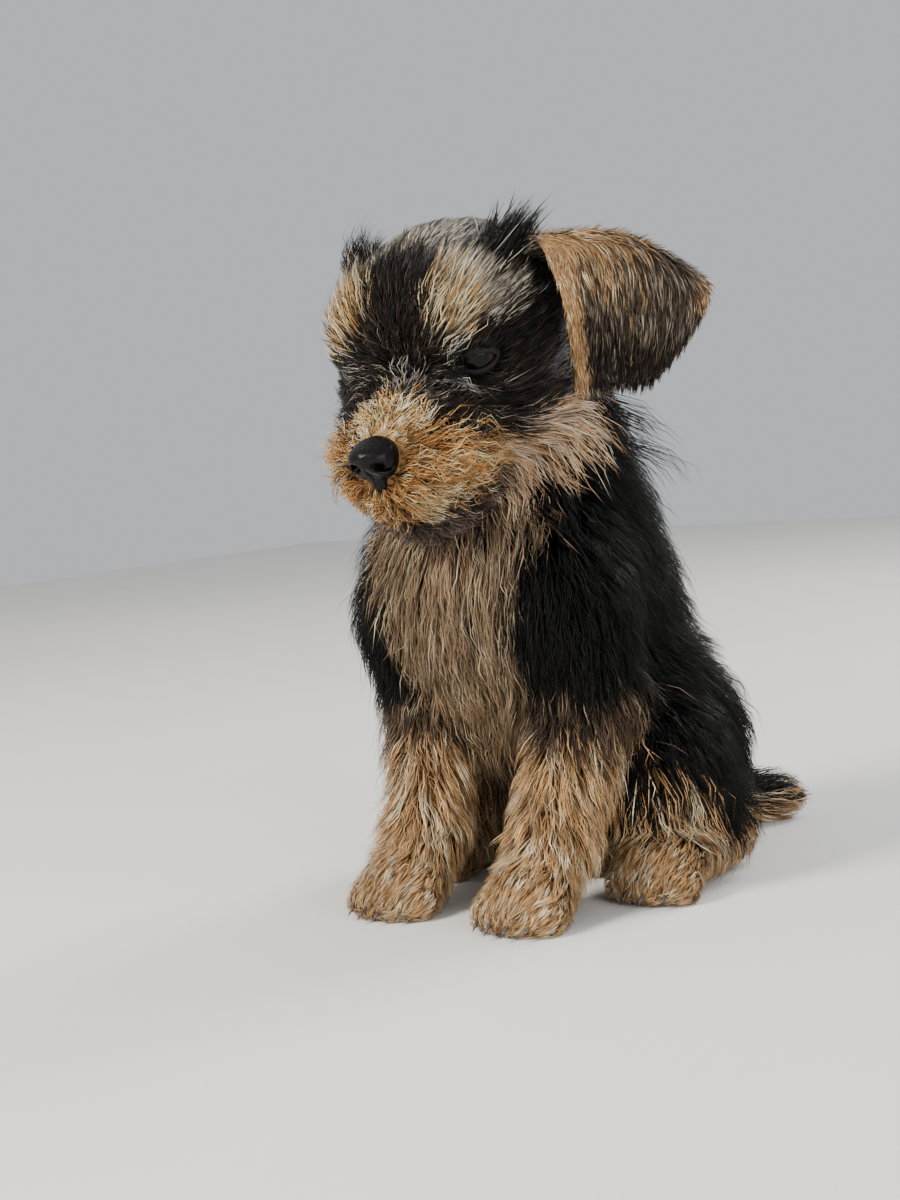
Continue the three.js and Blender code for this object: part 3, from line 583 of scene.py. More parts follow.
def markings(points):
    """The share of each pelt at each point"""
    h = folded_places(points)
    h += RIPPLE * np.sin(points / RIPPLE_LENGTH + (0, 1, 2))[:, [1, 2, 0]]
    left, forward, up = h.T
    x, y, z = np.abs(points[:, 0]), points[:, 1], points[:, 2]
    fields = {name: shape(points) for name, shape in PARTS.items()}
    near_head = np.minimum(fields["head"], fields["jaw"])
    head = smooth(np.minimum(fields["neck"], fields["torso"]) - near_head, -4, 4)
    body = 1 - head
    shares = np.zeros((len(points), len(PELTS)))
    shares[:, PELT["black"]] = 1

    def paint(name, mask):
        mask = np.clip(mask, 0, 1)[:, None]
        shares[:] = shares * (1 - mask)
        shares[:, PELT[name]] += mask[:, 0]

    def spot(name, middle, radii, share=1):
        paint(name, head * spot_mask(h, middle, radii) * share)

    # Trunk: a tan bib down the chest, grey-brown under the arms and belly
    bib = smooth(-y, 8, 26) * fade(x, 14, 25) * smooth(z, 40, 62)
    paint("bib", bib * body)
    paint("smoke", smooth(-y, -14, -2) * fade(z, 44, 60) * fade(x, 18, 26) * body)
    # Legs: tan below the elbow and the knee, and on the inside
    for s in (-1, 1):
        legs = (np.minimum(fields[f"{end}leg{s}"], fields[f"{end}paw{s}"]) for end in ("fore", "hind"))
        near_fore, near_hind = (smooth(-leg, -7, -1) for leg in legs)
        paint("smoke", near_fore * fade(z, 58, 74) * body)
        paint("tan", near_fore * fade(z, 46, 60) * body)
        inner = fade(points[:, 0] * s, 18, 30) * fade(y, 12, 24)
        paint("tan", near_hind * np.maximum(fade(z, 14, 30), inner * 0.8) * body)
        paint("tan", near_hind * smooth(-y, -8, 4) * fade(z, 30, 44) * 0.8 * body)
    near_tail = smooth(-fields["tail"], -8, -2)
    paint("tan", near_tail * fade(z, 6, 12) * smooth(y, 50, 60))

    # Head: a dark stripe up from the nose between pale brows, and a dark mask over a pale cheek
    muzzle = smooth(forward, 38, 47)
    below_mask = smooth(np.interp(forward, MASK_FORWARD, MASK_LOW) - up, -3, 3)
    band = smooth(up - np.interp(forward, CHEEK_FORWARD, CHEEK_LOW), -2, 2) * smooth(left, 6, 14)
    face = np.maximum(head, band * smooth(forward, -8, 2))
    paint("crown", head)
    spot("silver_and_sheen", (19, 19, 12), (12, 14, 11), 0.9)
    # Painted sheen: a pale silver patch on top of the crown stands for light glancing off the flat black hair
    # there
    spot("silver_and_sheen", (6, 8, 28), (10, 12, 6), 0.9)
    paint("cheek", face * below_mask * band)
    flank = smooth(left, 13 - 7 * smooth(forward, 26, 38), 16 - 7 * smooth(forward, 26, 38))
    paint("mask", head * (1 - below_mask) * flank * fade(up, 4, 9))
    paint("mask", head * fade(left, 4.5, 8) * smooth(forward, 6, 18) * smooth(up, -2, 2))
    spot("brow", (12, 27, 13), (6, 10, 9), 0.75)
    gold = np.maximum(muzzle * (1 - flank), below_mask * smooth(forward, 20, 34))
    paint("gold", face * gold * fade(-up, 26, 30))
    spot("cream", (3, 50, -6), (4.5, 9, 5), 0.8)
    spot("cream", (8, 50, -24), (6, 8, 3), 0.6)
    # Where the head meets the jaw at the mouth, which is darkened below as painted shade
    crease = fade(np.abs(fields["head"] - fields["jaw"]), 0.6, 2.2)
    paint("chin", head * smooth(fields["head"] - fields["jaw"], -2, 1.5) * smooth(forward, 14, 30))
    # Painted shade: a dark line of the mask pelt along the mouth's crease, where shade falls between the lip
    # fur and the chin fur
    paint("mask", head * crease * smooth(forward, 24, 32) * 0.9)
    spot("mask", (0, 55, -20), (2.2, 5, 4), 0.8)
    paint("mask", head * fade(lengths(h - NOSE_AT), 5.6, 7) * 0.8)
    spot("black", TUFT_AT, (6, 6, 5))
    return shares


def ear_markings(side, i, outer):
    """A black flap, tan inside, with a tan root and rim where it hangs forward"""
    across, down = ears[side].across[i], ears[side].down[i]
    shares = np.zeros((len(i), len(PELTS)))
    rim = fade(across, 0.03, 0.12)
    front = fade(across, 0.25, 0.75) * smooth(down, 0.36, 0.46) * fade(down, 0.52, 0.76)
    corner = smooth(across, 0.88, 0.97) * fade(np.abs(down - 0.55), 0.05, 0.12)
    warm = np.maximum(np.maximum(rim * smooth(down, 0.4, 0.5), front * 0.8), corner * 0.6)
    warm = np.where(outer, warm * (side == "left"), 0.75 * smooth(down, 0.45, 0.6))
    dark = (1 - warm) * smooth(down, 0.7, 0.9) * 0.8
    shares[:, PELT["ear"]] = 1 - warm - dark
    shares[:, PELT["ear_tan"]] = warm
    shares[:, PELT["mask"]] = dark
    return shares


# Skin: one closed mesh with the lids, coloured under the coat
def lid_rings(eye, columns=48):
    """A lid all round an eye's opening, from its wet edge out to the face"""
    wide, high = EYE_OPENING[0] / 2, EYE_OPENING[1] / 2
    angles = np.linspace(0, 2 * math.pi, columns, endpoint=False)
    almond = np.stack([np.cos(angles) * wide, np.sin(angles) * high * np.abs(np.sin(angles)) ** 0.35], axis=1)
    circle = np.stack([np.cos(angles), np.sin(angles)], axis=1) * 10.5
    rows = [(-0.5, 0.0), (0.15, 0.0), (0.75, 0.02), (1.0, 0.07), (1.05, 0.16), (0.8, 0.27)]
    rows += [(1.0, 0.4), (0.9, 0.55), (0.6, 0.7), (0.2, 0.85), (-1.5, 1.0)]
    points = []
    for rise, share in rows:
        flat = almond * (1 - share) + circle * share
        base = eye["centre"] + flat[:, :1] * eye["across"] + flat[:, 1:] * eye["upward"]
        radius = EYE_RADIUS + rise * LID_THICKNESS
        ball = np.sqrt(np.maximum(radius**2 - np.sum(flat**2, axis=1), 0))
        height = np.full(columns, EYE_RADIUS + 4.0)
        for _ in range(30):
            height -= 0.7 * (HEAD(base + height[:, None] * eye["gaze"]) - min(rise, 0.1))
        level = ball if share < 0.3 else -merge([-ball, -height], 2.5)
        points.append(base + level[:, None] * eye["gaze"])
    rings = np.arange(len(rows) * columns).reshape(len(rows), columns)
    a, b = rings[:-1], rings[1:]
    faces = np.stack([a, np.roll(a, -1, 1), np.roll(b, -1, 1), b], axis=-1).reshape(-1, 4)
    points = np.concatenate(points)
    first = points[faces[columns]]
    outside = np.cross(first[1] - first[0], first[2] - first[0]) @ eye["gaze"] > 0
    return points, faces if outside else faces[:, ::-1]


body_low, body_high = (-62, -112, -2), (82, 100, 200)
skin_points, skin_faces = surface_net(skin_field, body_low, body_high, SKIN_CELL)
skin_points = settle(skin_field, skin_points)
skin_points[:, 2] = np.maximum(skin_points[:, 2], FLOOR_GAP)
for eye in eyes.values():
    lid_points, lid_faces = lid_rings(eye)
    skin_faces = np.concatenate([skin_faces, lid_faces + len(skin_points)])
    skin_points = np.concatenate([skin_points, lid_points])
skin = make_mesh("skin", skin_points, skin_faces)


def unwrap(piece):
    """An unwrap of the piece's own shape, as the share of the map across and up for each corner"""
    bpy.context.view_layer.objects.active = piece
    piece.select_set(True)
    bpy.ops.object.mode_set(mode="EDIT")
    bpy.ops.mesh.select_all(action="SELECT")
    bpy.ops.uv.smart_project(angle_limit=math.radians(66), island_margin=0.002)
    bpy.ops.object.mode_set(mode="OBJECT")
    piece.select_set(False)
    flat = np.empty(len(piece.data.loops) * 2)
    piece.data.uv_layers.active.data.foreach_get("uv", flat)
    return flat.reshape(-1, 4, 2)


skin_map = unwrap(skin)


def pick_ear(points):
    """Which ear each point is on, if any: its name's number, or -1"""
    distances = np.stack([ear.distance(points) for ear in ears.values()])
    flesh = whole(points)
    return np.where(distances.min(0) < np.minimum(flesh - 1.5, 3), distances.argmin(0), -1)


def pelt_shares(points, normals):
    """The share of each pelt at each point of the skin, and which ear the point is on"""
    shares = markings(points)
    which = pick_ear(points)
    for number, (side, ear) in enumerate(ears.items()):
        on_ear = np.flatnonzero(which == number)
        if len(on_ear):
            i = ear.nearest(points[on_ear])
            outer = np.sum(ear.normals[i] * normals[on_ear], axis=1) > 0
            shares[on_ear] = ear_markings(side, i, outer)
    return shares, which


skin_normals = np.empty(len(skin_points) * 3)
skin.data.vertices.foreach_get("normal", skin_normals)
skin_normals = skin_normals.reshape(-1, 3)
skin_shares, _ = pelt_shares(skin_points, skin_normals)
set_colours(skin.data, skin_shares @ (ROOT_COLOURS * 0.8 + TIP_COLOURS * 0.2))


# Coat: on each part, how long and wide the hair is, how high its tips stand, and how dense it grows
COAT_SIZES = ("length", "width", "stand", "density")
COAT = {
    "torso": (24, 0.42, 10.0, 0.95),
    "neck": (21, 0.42, 9.0, 1.1),
    "tail": (18, 0.44, 6.5, 1.2),
    "foreleg": (17, 0.42, 7.0, 1.4),
    "hindleg": (21, 0.46, 8.0, 1.1),
    "forepaw": (7.5, 0.36, 2.6, 2.3),
    "hindpaw": (7.5, 0.36, 2.6, 2.1),
    "jaw": (10, 0.34, 5.0, 2.6),
    "head": (12, 0.34, 4.2, 2.7),
}
EAR_COAT = dict(zip(COAT_SIZES, (8, 0.32, 1.8, 2.4)))
PART_NAMES = [name.rstrip("-1") for name in PARTS]


def part_shares(points):
    """How much each part has to say at each point"""
    distances = np.stack([shape(points) for shape in PARTS.values()], axis=1)
    nearness = np.exp(-(distances - distances.min(1, keepdims=True)) / 3)
    return nearness / nearness.sum(1, keepdims=True)


def coat_sizes(points, shares):
    """Length, width, stand and density of the coat at each point"""
    sizes = {}
    for i, key in enumerate(COAT_SIZES):
        sizes[key] = shares @ np.array([COAT[name][i] for name in PART_NAMES])
    h = folded_places(points)
    left, forward, up = h.T
    head = shares[:, 0] + shares[:, 1]
    muzzle = smooth(forward, 20, 42) * head
    bridge = muzzle * fade(left, 5, 12) * smooth(up, -16, -8)
    crown = smooth(up, 14, 22) * fade(forward, 16, 26) * head
    brow = head * spot_mask(h, (13, 24, 14), (7, 10, 9))
    tuft = head * spot_mask(h, TUFT_AT, (6, 6, 5))
    ruff = np.max([spot_mask(h, place, (6, 5, 4)) for place in RUFFS_AT], axis=0)
    lip = smooth(forward, 38, 50) * smooth(-up, 14, 21) * shares[:, 0]
    cheek = smooth(-up, 10, 20) * smooth(forward, -12, 4) * head
    full = np.maximum(muzzle, 0.6 * cheek)
    changes = {
        "length": 0.25 * full - 0.5 * bridge - 0.1 * crown + 0.25 * brow + 0.45 * tuft - 0.45 * lip,
        "stand": full - 1.2 * bridge - 0.45 * crown + 0.5 * brow + 2.2 * tuft + 1.3 * ruff - 1.1 * lip,
    }
    for name, change in changes.items():
        sizes[name] *= 1 + change
    sizes["density"] *= 1 + 0.3 * muzzle
    near_nose = fade(lengths(h - NOSE_AT), 6, 12)
    near_eye = fade(eye_gap(points), 7.5, 11)
    for name, share in (("length", 0.5), ("stand", 0.6), ("width", 0.2)):
        sizes[name] *= (1 - share * near_nose) * (1 - share * near_eye)
    sizes["density"] *= 1 + 0.5 * near_eye
    return sizes


def tail_lie(points):
    """The way from each point towards the tail's end, and a little down"""
    gaps = np.linalg.norm(points[:, None] - TAIL_POINTS[None], axis=2)
    i = np.minimum(gaps.argmin(1), len(TAIL_POINTS) - 2)
    return TAIL_POINTS[i + 1] - TAIL_POINTS[i] + np.array([0, 0, -2])


def lie(points, shares):
    """The way the coat lies, before it is laid flat on the skin"""
    left, forward, up = head_places(points).T
    muzzle = smooth(forward, 24, 34)
    low = smooth(-up, -4, 10)
    outwards = np.clip(left / 4, -1, 1) * (0.2 + 0.3 * muzzle)
    ahead = -1 + 0.3 * muzzle * low
    lift = 0.25 - low * (0.1 + 0.45 * muzzle)
    head = np.stack([outwards, -ahead, lift], axis=1) @ HEAD_AXES.T
    sideways = np.clip(points[:, 0] / 8, -1, 1) * 0.1
    rearwards = np.where(points[:, 1] < -20, -0.12, 0.35)
    trunk = np.stack([sideways, rearwards, -np.ones(len(points))], axis=1)
    ways = {
        "head": unit(head),
        "jaw": unit(head_way(0, -0.8, -0.5)),
        "neck": unit(trunk),
        "torso": unit(trunk),
        "tail": unit(tail_lie(points)),
        "foreleg": unit(np.array([0, 0.08, -1.0])),
        "hindleg": unit(np.array([0, 0.1, -1.0])),
        "forepaw": unit(np.array([0, -1, -0.35])),
        "hindpaw": unit(np.array([0, -1, -0.35])),
    }
    way = sum(shares[:, i : i + 1] * ways[name] for i, name in enumerate(PART_NAMES))
    for eye in eyes.values():
        gap = points - eye["centre"]
        aside = gap - dots(gap, eye["gaze"]) * eye["gaze"]
        near = fade(lengths(aside), 3, 10)
        near = near * (lengths(gap) < 15)
        way = way + unit(aside) * near[:, None] * 1.1
    gap = points - head_spot(*NOSE_AT)
    near = fade(lengths(gap), 7, 14)
    return unit(way + unit(gap) * near[:, None] * 0.8)


def scatter(points_of_faces, map_of_faces, density_of):
    """Roots spread at random over faces: their place, their face and their place on the map"""
    a, b, c, d = (points_of_faces[:, i] for i in range(4))
    halves = (np.cross(b - a, c - a), np.cross(c - a, d - a))
    areas = sum(lengths(half) for half in halves) / 2
    middles = points_of_faces.mean(1)
    wanted = areas * density_of(middles) * DENSITY
    count = int(wanted.sum())
    faces = rng.choice(len(areas), count, p=wanted / wanted.sum())
    u, v = rng.random((2, count, 1))
    weights = np.stack([(1 - u) * (1 - v), u * (1 - v), u * v, (1 - u) * v], axis=1)
    return (points_of_faces[faces] * weights).sum(1), faces, (map_of_faces[faces] * weights).sum(1)


corner_points = skin_points[skin_faces]
face_normals = unit(
    np.cross(corner_points[:, 2] - corner_points[:, 0], corner_points[:, 3] - corner_points[:, 1])
)


def inside_opening(points):
    """Points in front of an eye, between its lids or just past their rims"""
    found = np.zeros(len(points), bool)
    for eye in eyes.values():
        gap = points - eye["centre"]
        wide, high = (size / 2 * BARE_ROUND_OPENING for size in EYE_OPENING)
        between = (gap @ eye["across"] / wide) ** 2 + (gap @ eye["upward"] / high) ** 2 < 1
        found |= between & (lengths(gap) < EYE_REACH) & (gap @ eye["gaze"] > 0)
    return found


def hair_density(middles):
    """Roots for each square millimetre of skin, none where the skin is bare or rests on the floor"""
    density = coat_sizes(middles, part_shares(middles))["density"]
    which = pick_ear(middles)
    density = np.where(which >= 0, EAR_COAT["density"], density)
    bare = (face_normals[:, 2] < -0.6) & (middles[:, 2] < 3)
    bare |= sockets(middles) < 0.3
    bare |= inside_opening(middles)
    bare |= lengths(middles - head_spot(*NOSE_AT)) < BARE_ROUND_NOSE
    return np.where(bare, 0, density)


roots, root_faces, root_maps = scatter(corner_points, skin_map, hair_density)
root_normals = face_normals[root_faces]


def grow(points, steps):
    """Paths of hairs over the flesh, rising to their height, and the outward way along each"""
    shares = part_shares(points)
    sizes = coat_sizes(points, shares)
    count = len(points)
    stray = rng.random(count) < STRAYS
    length = sizes["length"] * rng.uniform(0.65, 1.2, count) * np.where(stray, 1.15, 1)
    stand = sizes["stand"] * rng.uniform(0.45, 1.1, count) * np.where(stray, 1.4, 1)
    muzzle = smooth(head_places(points)[:, 1:2], 30, 42) * (shares[:, :1] + shares[:, 1:2])
    sway = rng.normal(0, SWAY, (count, 3)) * (1 + 1.2 * muzzle)
    curl = rng.normal(0, CURL, (count, 3)) * (1 + 1.8 * muzzle)
    place = points.copy()
    start = whole(points)
    path, outs = np.empty((2, count, steps + 1, 3))
    for k in range(steps + 1):
        share = k / steps
        normal = outward(whole, place)
        height = start - SUNK + (stand + SUNK) * math.sin(math.pi / 2 * share)
        place = place + normal * (height - whole(place))[:, None]
        path[:, k], outs[:, k] = place, normal
        way = lie(place, shares) + sway + curl * math.sin(2.2 * share * math.pi)
        way = unit(way - dots(way, normal) * normal)
        place = place + way * (length / steps)[:, None]
    return path, outs, sizes["width"] * rng.uniform(*WIDTH_SPREAD, count)


def grow_on_ear(ear, points, normals, steps):
    """Paths of hairs over an ear's leaf, which hang past its edge"""
    i = ear.nearest(points)
    outer = np.where(np.sum(ear.normals[i] * normals, axis=1) > 0, 1.0, -1.0)[:, None]
    count = len(points)
    edge = np.maximum(smooth(ear.down[i], 0.75, 0.95), smooth(np.abs(ear.across[i] - 0.5), 0.36, 0.47))
    length = EAR_COAT["length"] * rng.uniform(0.6, 1.2, count) * (1 - 0.45 * edge)
    stand = EAR_COAT["stand"] * rng.uniform(0.5, 1.2, count)
    spread = (ear.across[i] - 0.45)[:, None] * ear.sideways[i] * 0.4
    way = unit(ear.along[i] + spread + rng.normal(0, SWAY, (count, 3)))
    place = points - ear.normals[i] * outer * 0.5
    path, outs = np.empty((2, count, steps + 1, 3))
    for k in range(steps + 1):
        share = k / steps
        near = ear.nearest(place)
        normal = ear.normals[near] * outer
        path[:, k], outs[:, k] = place, normal
        flat = unit(way - dots(way, normal) * normal * 0.8)
        place = place + flat * (length / steps)[:, None] + normal * (stand / steps)[:, None]
    return path, outs, EAR_COAT["width"] * rng.uniform(*WIDTH_SPREAD, count)


def leaders_of(path, every):
    """For each hair, one of a few among them that it lies nearest to"""
    count = len(path)
    leaders = rng.choice(count, max(count // every, 1), replace=False)
    return leaders[nearest_in(tree_of(path[leaders, 1]), path[:, 1])]


def gather(path, lead):
    """Draws hairs towards their leader, more at their tips."""
    share = np.linspace(0, 1, path.shape[1])[None, :, None] ** 1.3
    strength = CLUMP_PULL * rng.uniform(0.3, 1, (len(path), 1, 1))
    return path + (path[lead] - path) * share * strength


def blades(path, outs, width):
    """Closed three-sided blades along paths: points, triangles, and the share of length at each point"""
    count, rings = path.shape[0], path.shape[1] - 1
    along = unit(np.gradient(path, axis=1))
    side = unit(np.cross(outs, along))
    over = unit(np.cross(along, side))
    share = np.arange(rings) / rings
    taper = (width[:, None] * (1 - TAPER * share**1.5))[:, :, None] / 2
    middle, side, over = path[:, :-1], side[:, :-1], over[:, :-1]
    back = middle + over * taper * THICKNESS_SHARE
    ring = np.stack([middle - side * taper, back, middle + side * taper], axis=2)
    points = np.concatenate([ring.reshape(count, rings * 3, 3), path[:, -1:]], axis=1)
    faces = [(0, 1, 2)]
    for k in range(rings - 1):
        for i in range(3):
            a, b = 3 * k + i, 3 * k + (i + 1) % 3
            faces += [(a, a + 3, b + 3), (a, b + 3, b)]
    last = 3 * (rings - 1)
    faces += [(last + i, 3 * rings, last + (i + 1) % 3) for i in range(3)]
    size = 3 * rings + 1
    faces = np.array(faces)[None] + (np.arange(count) * size)[:, None, None]
    shares = np.concatenate([np.repeat(share, 3), [1.0]])
    return points.reshape(-1, 3), faces.reshape(-1, 3), shares


def blade_corners(rings):
    """Where each corner of each triangle sits on a blade: side to side, and root to tip"""
    across = np.concatenate([np.tile([0.0, 0.5, 1.0], rings), [0.5]])
    along = np.concatenate([np.repeat(np.arange(rings) / rings, 3), [1.0]])
    _, faces, _ = blades(np.zeros((1, rings + 1, 3)), np.ones((1, rings + 1, 3)), np.ones(1))
    return np.stack([across, along], axis=1)[faces.ravel()]


def hair_colours(shares, lead, alike):
    """Colours of root and tip, where some of the hairs that lie together share their pelt and streak"""
    count = len(shares)
    own, streak = rng.random(count), rng.random(count)
    follows = rng.random(count) < alike
    own, streak = np.where(follows, own[lead], own), np.where(follows, streak[lead], streak)
    pelt = (shares.cumsum(1) < own[:, None]).sum(1).clip(0, len(PELTS) - 1)
    tips = np.where((streak < STREAK_SHARES[pelt])[:, None], STREAKS[pelt], TIP_COLOURS[pelt])
    bright = rng.lognormal(0, 0.16, count) * rng.lognormal(0, 0.18, count)[lead]
    return ROOT_COLOURS[pelt] * bright[:, None], tips * bright[:, None]


def coat_piece(name, path, outs, width, maps, colours, material):
    """One mesh of blades with their colours and two maps"""
    points, faces, along = blades(path, outs, width)
    points[:, 2] = np.maximum(points[:, 2], FLOOR_GAP / 2)
    piece = make_mesh(name, points, faces)
    count = len(path)
    base, end = (colour[:, None] for colour in colours)
    rise = smooth(along, 0.05, 0.75)[None, :, None]
    set_colours(piece.data, np.clip(base + (end - base) * rise, 0, 1).reshape(-1, 3))
    corners = blade_corners(path.shape[1] - 1)
    strand = piece.data.uv_layers.new(name="Strand")
    strand.data.foreach_set("uv", np.tile(corners.ravel(), count).astype(np.float32))
    patch = maps[:, None] + (corners - 0.5)[None] * PATCH
    bake = piece.data.uv_layers.new(name="OFBake")
    bake.data.foreach_set("uv", np.clip(patch, 0, 1).astype(np.float32).ravel())
    piece.data.materials.append(material)
    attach(piece, "root")
    return piece


# Materials
def new_material(name, roughness=0.5, specular=0.5):
    material = bpy.data.materials.new(name)
    material.use_nodes = True
    tree = material.node_tree
    shader = tree.nodes["Principled BSDF"]
    shader.inputs["Roughness"].default_value = roughness
    shader.inputs["Specular IOR Level"].default_value = specular
    return material, tree, shader


def pelt_colour(tree):
    node = tree.nodes.new("ShaderNodeAttribute")
    node.attribute_name = "pelt"
    return node.outputs["Color"]


def noise(tree, scale, detail=3, coordinates=None):
    node = tree.nodes.new("ShaderNodeTexNoise")
    node.inputs["Scale"].default_value = scale
    node.inputs["Detail"].default_value = detail
    if coordinates is None:
        coordinates = tree.nodes.new("ShaderNodeTexCoord").outputs["Object"]
    tree.links.new(coordinates, node.inputs["Vector"])
    return node.outputs["Fac"]


def ramp(tree, source, *stops):
    """Colours at positions from 0 to 1, each as three values or as one for a grey"""
    node = tree.nodes.new("ShaderNodeValToRGB")
    elements = node.color_ramp.elements
    while len(elements) < len(stops):
        elements.new(0.5)
    for element, (position, colour) in zip(elements, stops):
        element.position = position
        element.color = (*np.broadcast_to(colour, 3), 1)
    tree.links.new(source, node.inputs["Fac"])
    return node.outputs["Color"]


def multiply(tree, a, b):
    node = tree.nodes.new("ShaderNodeMix")
    node.data_type = "RGBA"
    node.blend_type = "MULTIPLY"
    node.inputs["Factor"].default_value = 1
    tree.links.new(a, node.inputs["A"])
    tree.links.new(b, node.inputs["B"])
    return node.outputs["Result"]


def bump(tree, shader, height, strength, distance):
    node = tree.nodes.new("ShaderNodeBump")
    node.inputs["Strength"].default_value = strength
    node.inputs["Distance"].default_value = distance
    tree.links.new(height, node.inputs["Height"])
    tree.links.new(node.outputs["Normal"], shader.inputs["Normal"])


def coat_material():
    """Hair: the pelt's colour, broken into strands along each blade"""
    material, tree, shader = new_material("coat", 0.45, 0.18)
    strand = tree.nodes.new("ShaderNodeUVMap")
    strand.uv_map = "Strand"
    stretch = tree.nodes.new("ShaderNodeMapping")
    stretch.inputs["Scale"].default_value = (1.6, 0.25, 1)
    tree.links.new(strand.outputs["UV"], stretch.inputs["Vector"])
    strands = noise(tree, 2.5, 2, stretch.outputs["Vector"])
    lines = ramp(tree, strands, (0.35, 0.45), (0.65, 1.3))
    patches = ramp(tree, noise(tree, 90), (0.35, (0.8, 0.79, 0.78)), (0.65, 1.12))
    coloured = multiply(tree, multiply(tree, pelt_colour(tree), lines), patches)
    tree.links.new(coloured, shader.inputs["Base Color"])
    bump(tree, shader, strands, 0.5, 0.0002)
    return material


def skin_material():
    """Skin and undercoat: the pelt's root colour with the fine grain of short hair"""
    material, tree, shader = new_material("skin", 0.7, 0.255)
    fine = noise(tree, 900, 4)
    grain = ramp(tree, fine, (0.3, (0.55, 0.53, 0.52)), (0.7, (1.15, 1.12, 1.1)))
    tree.links.new(multiply(tree, pelt_colour(tree), grain), shader.inputs["Base Color"])
    bump(tree, shader, fine, 0.5, 0.0004)
    return material


def nose_material():
    """Pebbled black leather, damp on its high places"""
    material, tree, shader = new_material("nose", specular=0.14)
    cells = tree.nodes.new("ShaderNodeTexVoronoi")
    cells.inputs["Scale"].default_value = 900
    tree.links.new(tree.nodes.new("ShaderNodeTexCoord").outputs["Object"], cells.inputs["Vector"])
    tint = ramp(tree, noise(tree, 160), (0.2, 0.002), (0.8, (0.006, 0.005, 0.005)))
    tree.links.new(tint, shader.inputs["Base Color"])
    wet = ramp(tree, noise(tree, 220, 2), (0.3, 0.22), (0.8, 0.42))
    tree.links.new(wet, shader.inputs["Roughness"])
    bump(tree, shader, cells.outputs["Distance"], 0.35, 0.0003)
    return material


def eye_material():
    """A dark brown iris round a black pupil, wet, with a dark rim and a duller white behind it"""
    material, tree, shader = new_material("eye", 0.05, 0.15)
    rings = tree.nodes.new("ShaderNodeUVMap")
    rings.uv_map = "Rings"
    split = tree.nodes.new("ShaderNodeSeparateXYZ")
    tree.links.new(rings.outputs["UV"], split.inputs["Vector"])
    stops = [
        (0.0, 0.002),
        (0.34, 0.002),
        (0.40, (0.012, 0.006, 0.003)),
        (0.58, (0.018, 0.009, 0.004)),
        (0.68, (0.004, 0.003, 0.002)),
        (1.0, (0.016, 0.012, 0.010)),
    ]
    streaks = ramp(tree, noise(tree, 700), (0.3, 0.7), (0.7, 1.2))
    streaked = multiply(tree, ramp(tree, split.outputs["Y"], *stops), streaks)
    tree.links.new(streaked, shader.inputs["Base Color"])
    return material


def claw_material():
    material, tree, shader = new_material("claw", 0.3)
    tint = ramp(tree, noise(tree, 500, 2), (0.3, (0.030, 0.024, 0.020)), (0.7, (0.075, 0.060, 0.050)))
    tree.links.new(tint, shader.inputs["Base Color"])
    bump(tree, shader, noise(tree, 1500, 2), 0.2, 0.0002)
    return material


def floor_material():
    material, tree, shader = new_material("floor", 0.75)
    tint = ramp(tree, noise(tree, 3, 4), (0.3, (0.70, 0.69, 0.67)), (0.7, (0.76, 0.75, 0.73)))
    tree.links.new(tint, shader.inputs["Base Color"])
    bump(tree, shader, noise(tree, 120), 0.1, 0.0005)
    return material


# Pieces
def dress(piece, material, slot, *nodes):
    piece.data.materials.append(material)
    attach(piece, "root")
    if nodes:
        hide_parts(*nodes)


flesh_nodes = [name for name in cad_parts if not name.startswith(("eye", "nose"))]
dress(skin, skin_material(), "coat_black", *flesh_nodes)


def build_coat():
    """The whole coat, in pieces none too large"""
    material = coat_material()
    shares, which = pelt_shares(roots, root_normals)
    parts = part_shares(roots)
    names = np.array(PART_NAMES)
    forward = head_places(roots)[:, 1]
    on_head = parts[:, names == "head"].sum(1) + parts[:, names == "jaw"].sum(1) > 0.5
    on_paw = parts[:, names == "forepaw"].sum(1) + parts[:, names == "hindpaw"].sum(1) > 0.5
    body = which < 0
    groups = {
        "coat_face": (body & on_head & (forward < 27), SHORT_STEPS, 0.4),
        "coat_muzzle": (body & on_head & (forward >= 27), LONG_STEPS, 0.5),
        "coat_paws": (body & on_paw, SHORT_STEPS, 0.6),
        "coat_body": (body & ~on_head & ~on_paw, LONG_STEPS, 0.65),
        "coat_ear_left": (which == 0, SHORT_STEPS, 0.3),
        "coat_ear_right": (which == 1, SHORT_STEPS, 0.3),
    }
    for name, (chosen, steps, alike) in groups.items():
        chosen = np.flatnonzero(chosen)
        if name.startswith("coat_ear"):
            ear = ears[name.rsplit("_", 1)[1]]
            path, outs, width = grow_on_ear(ear, roots[chosen], root_normals[chosen], steps)
        else:
            path, outs, width = grow(roots[chosen], steps)
        lead = leaders_of(path, CLUMP)
        path = gather(path, lead)
        colours = hair_colours(shares[chosen], lead, alike)
        order = np.argsort(roots[chosen][:, 2], kind="stable")
        triangles = 6 * (steps - 1) + 4
        lots = math.ceil(len(chosen) * triangles / PIECE_FACES)
        for lot, rows in enumerate(np.array_split(order, lots)):
            label = name if lots == 1 else f"{name}_{lot + 1}"
            picked = [colour[rows] for colour in colours]
            coat_piece(label, path[rows], outs[rows], width[rows], root_maps[chosen[rows]], picked, material)


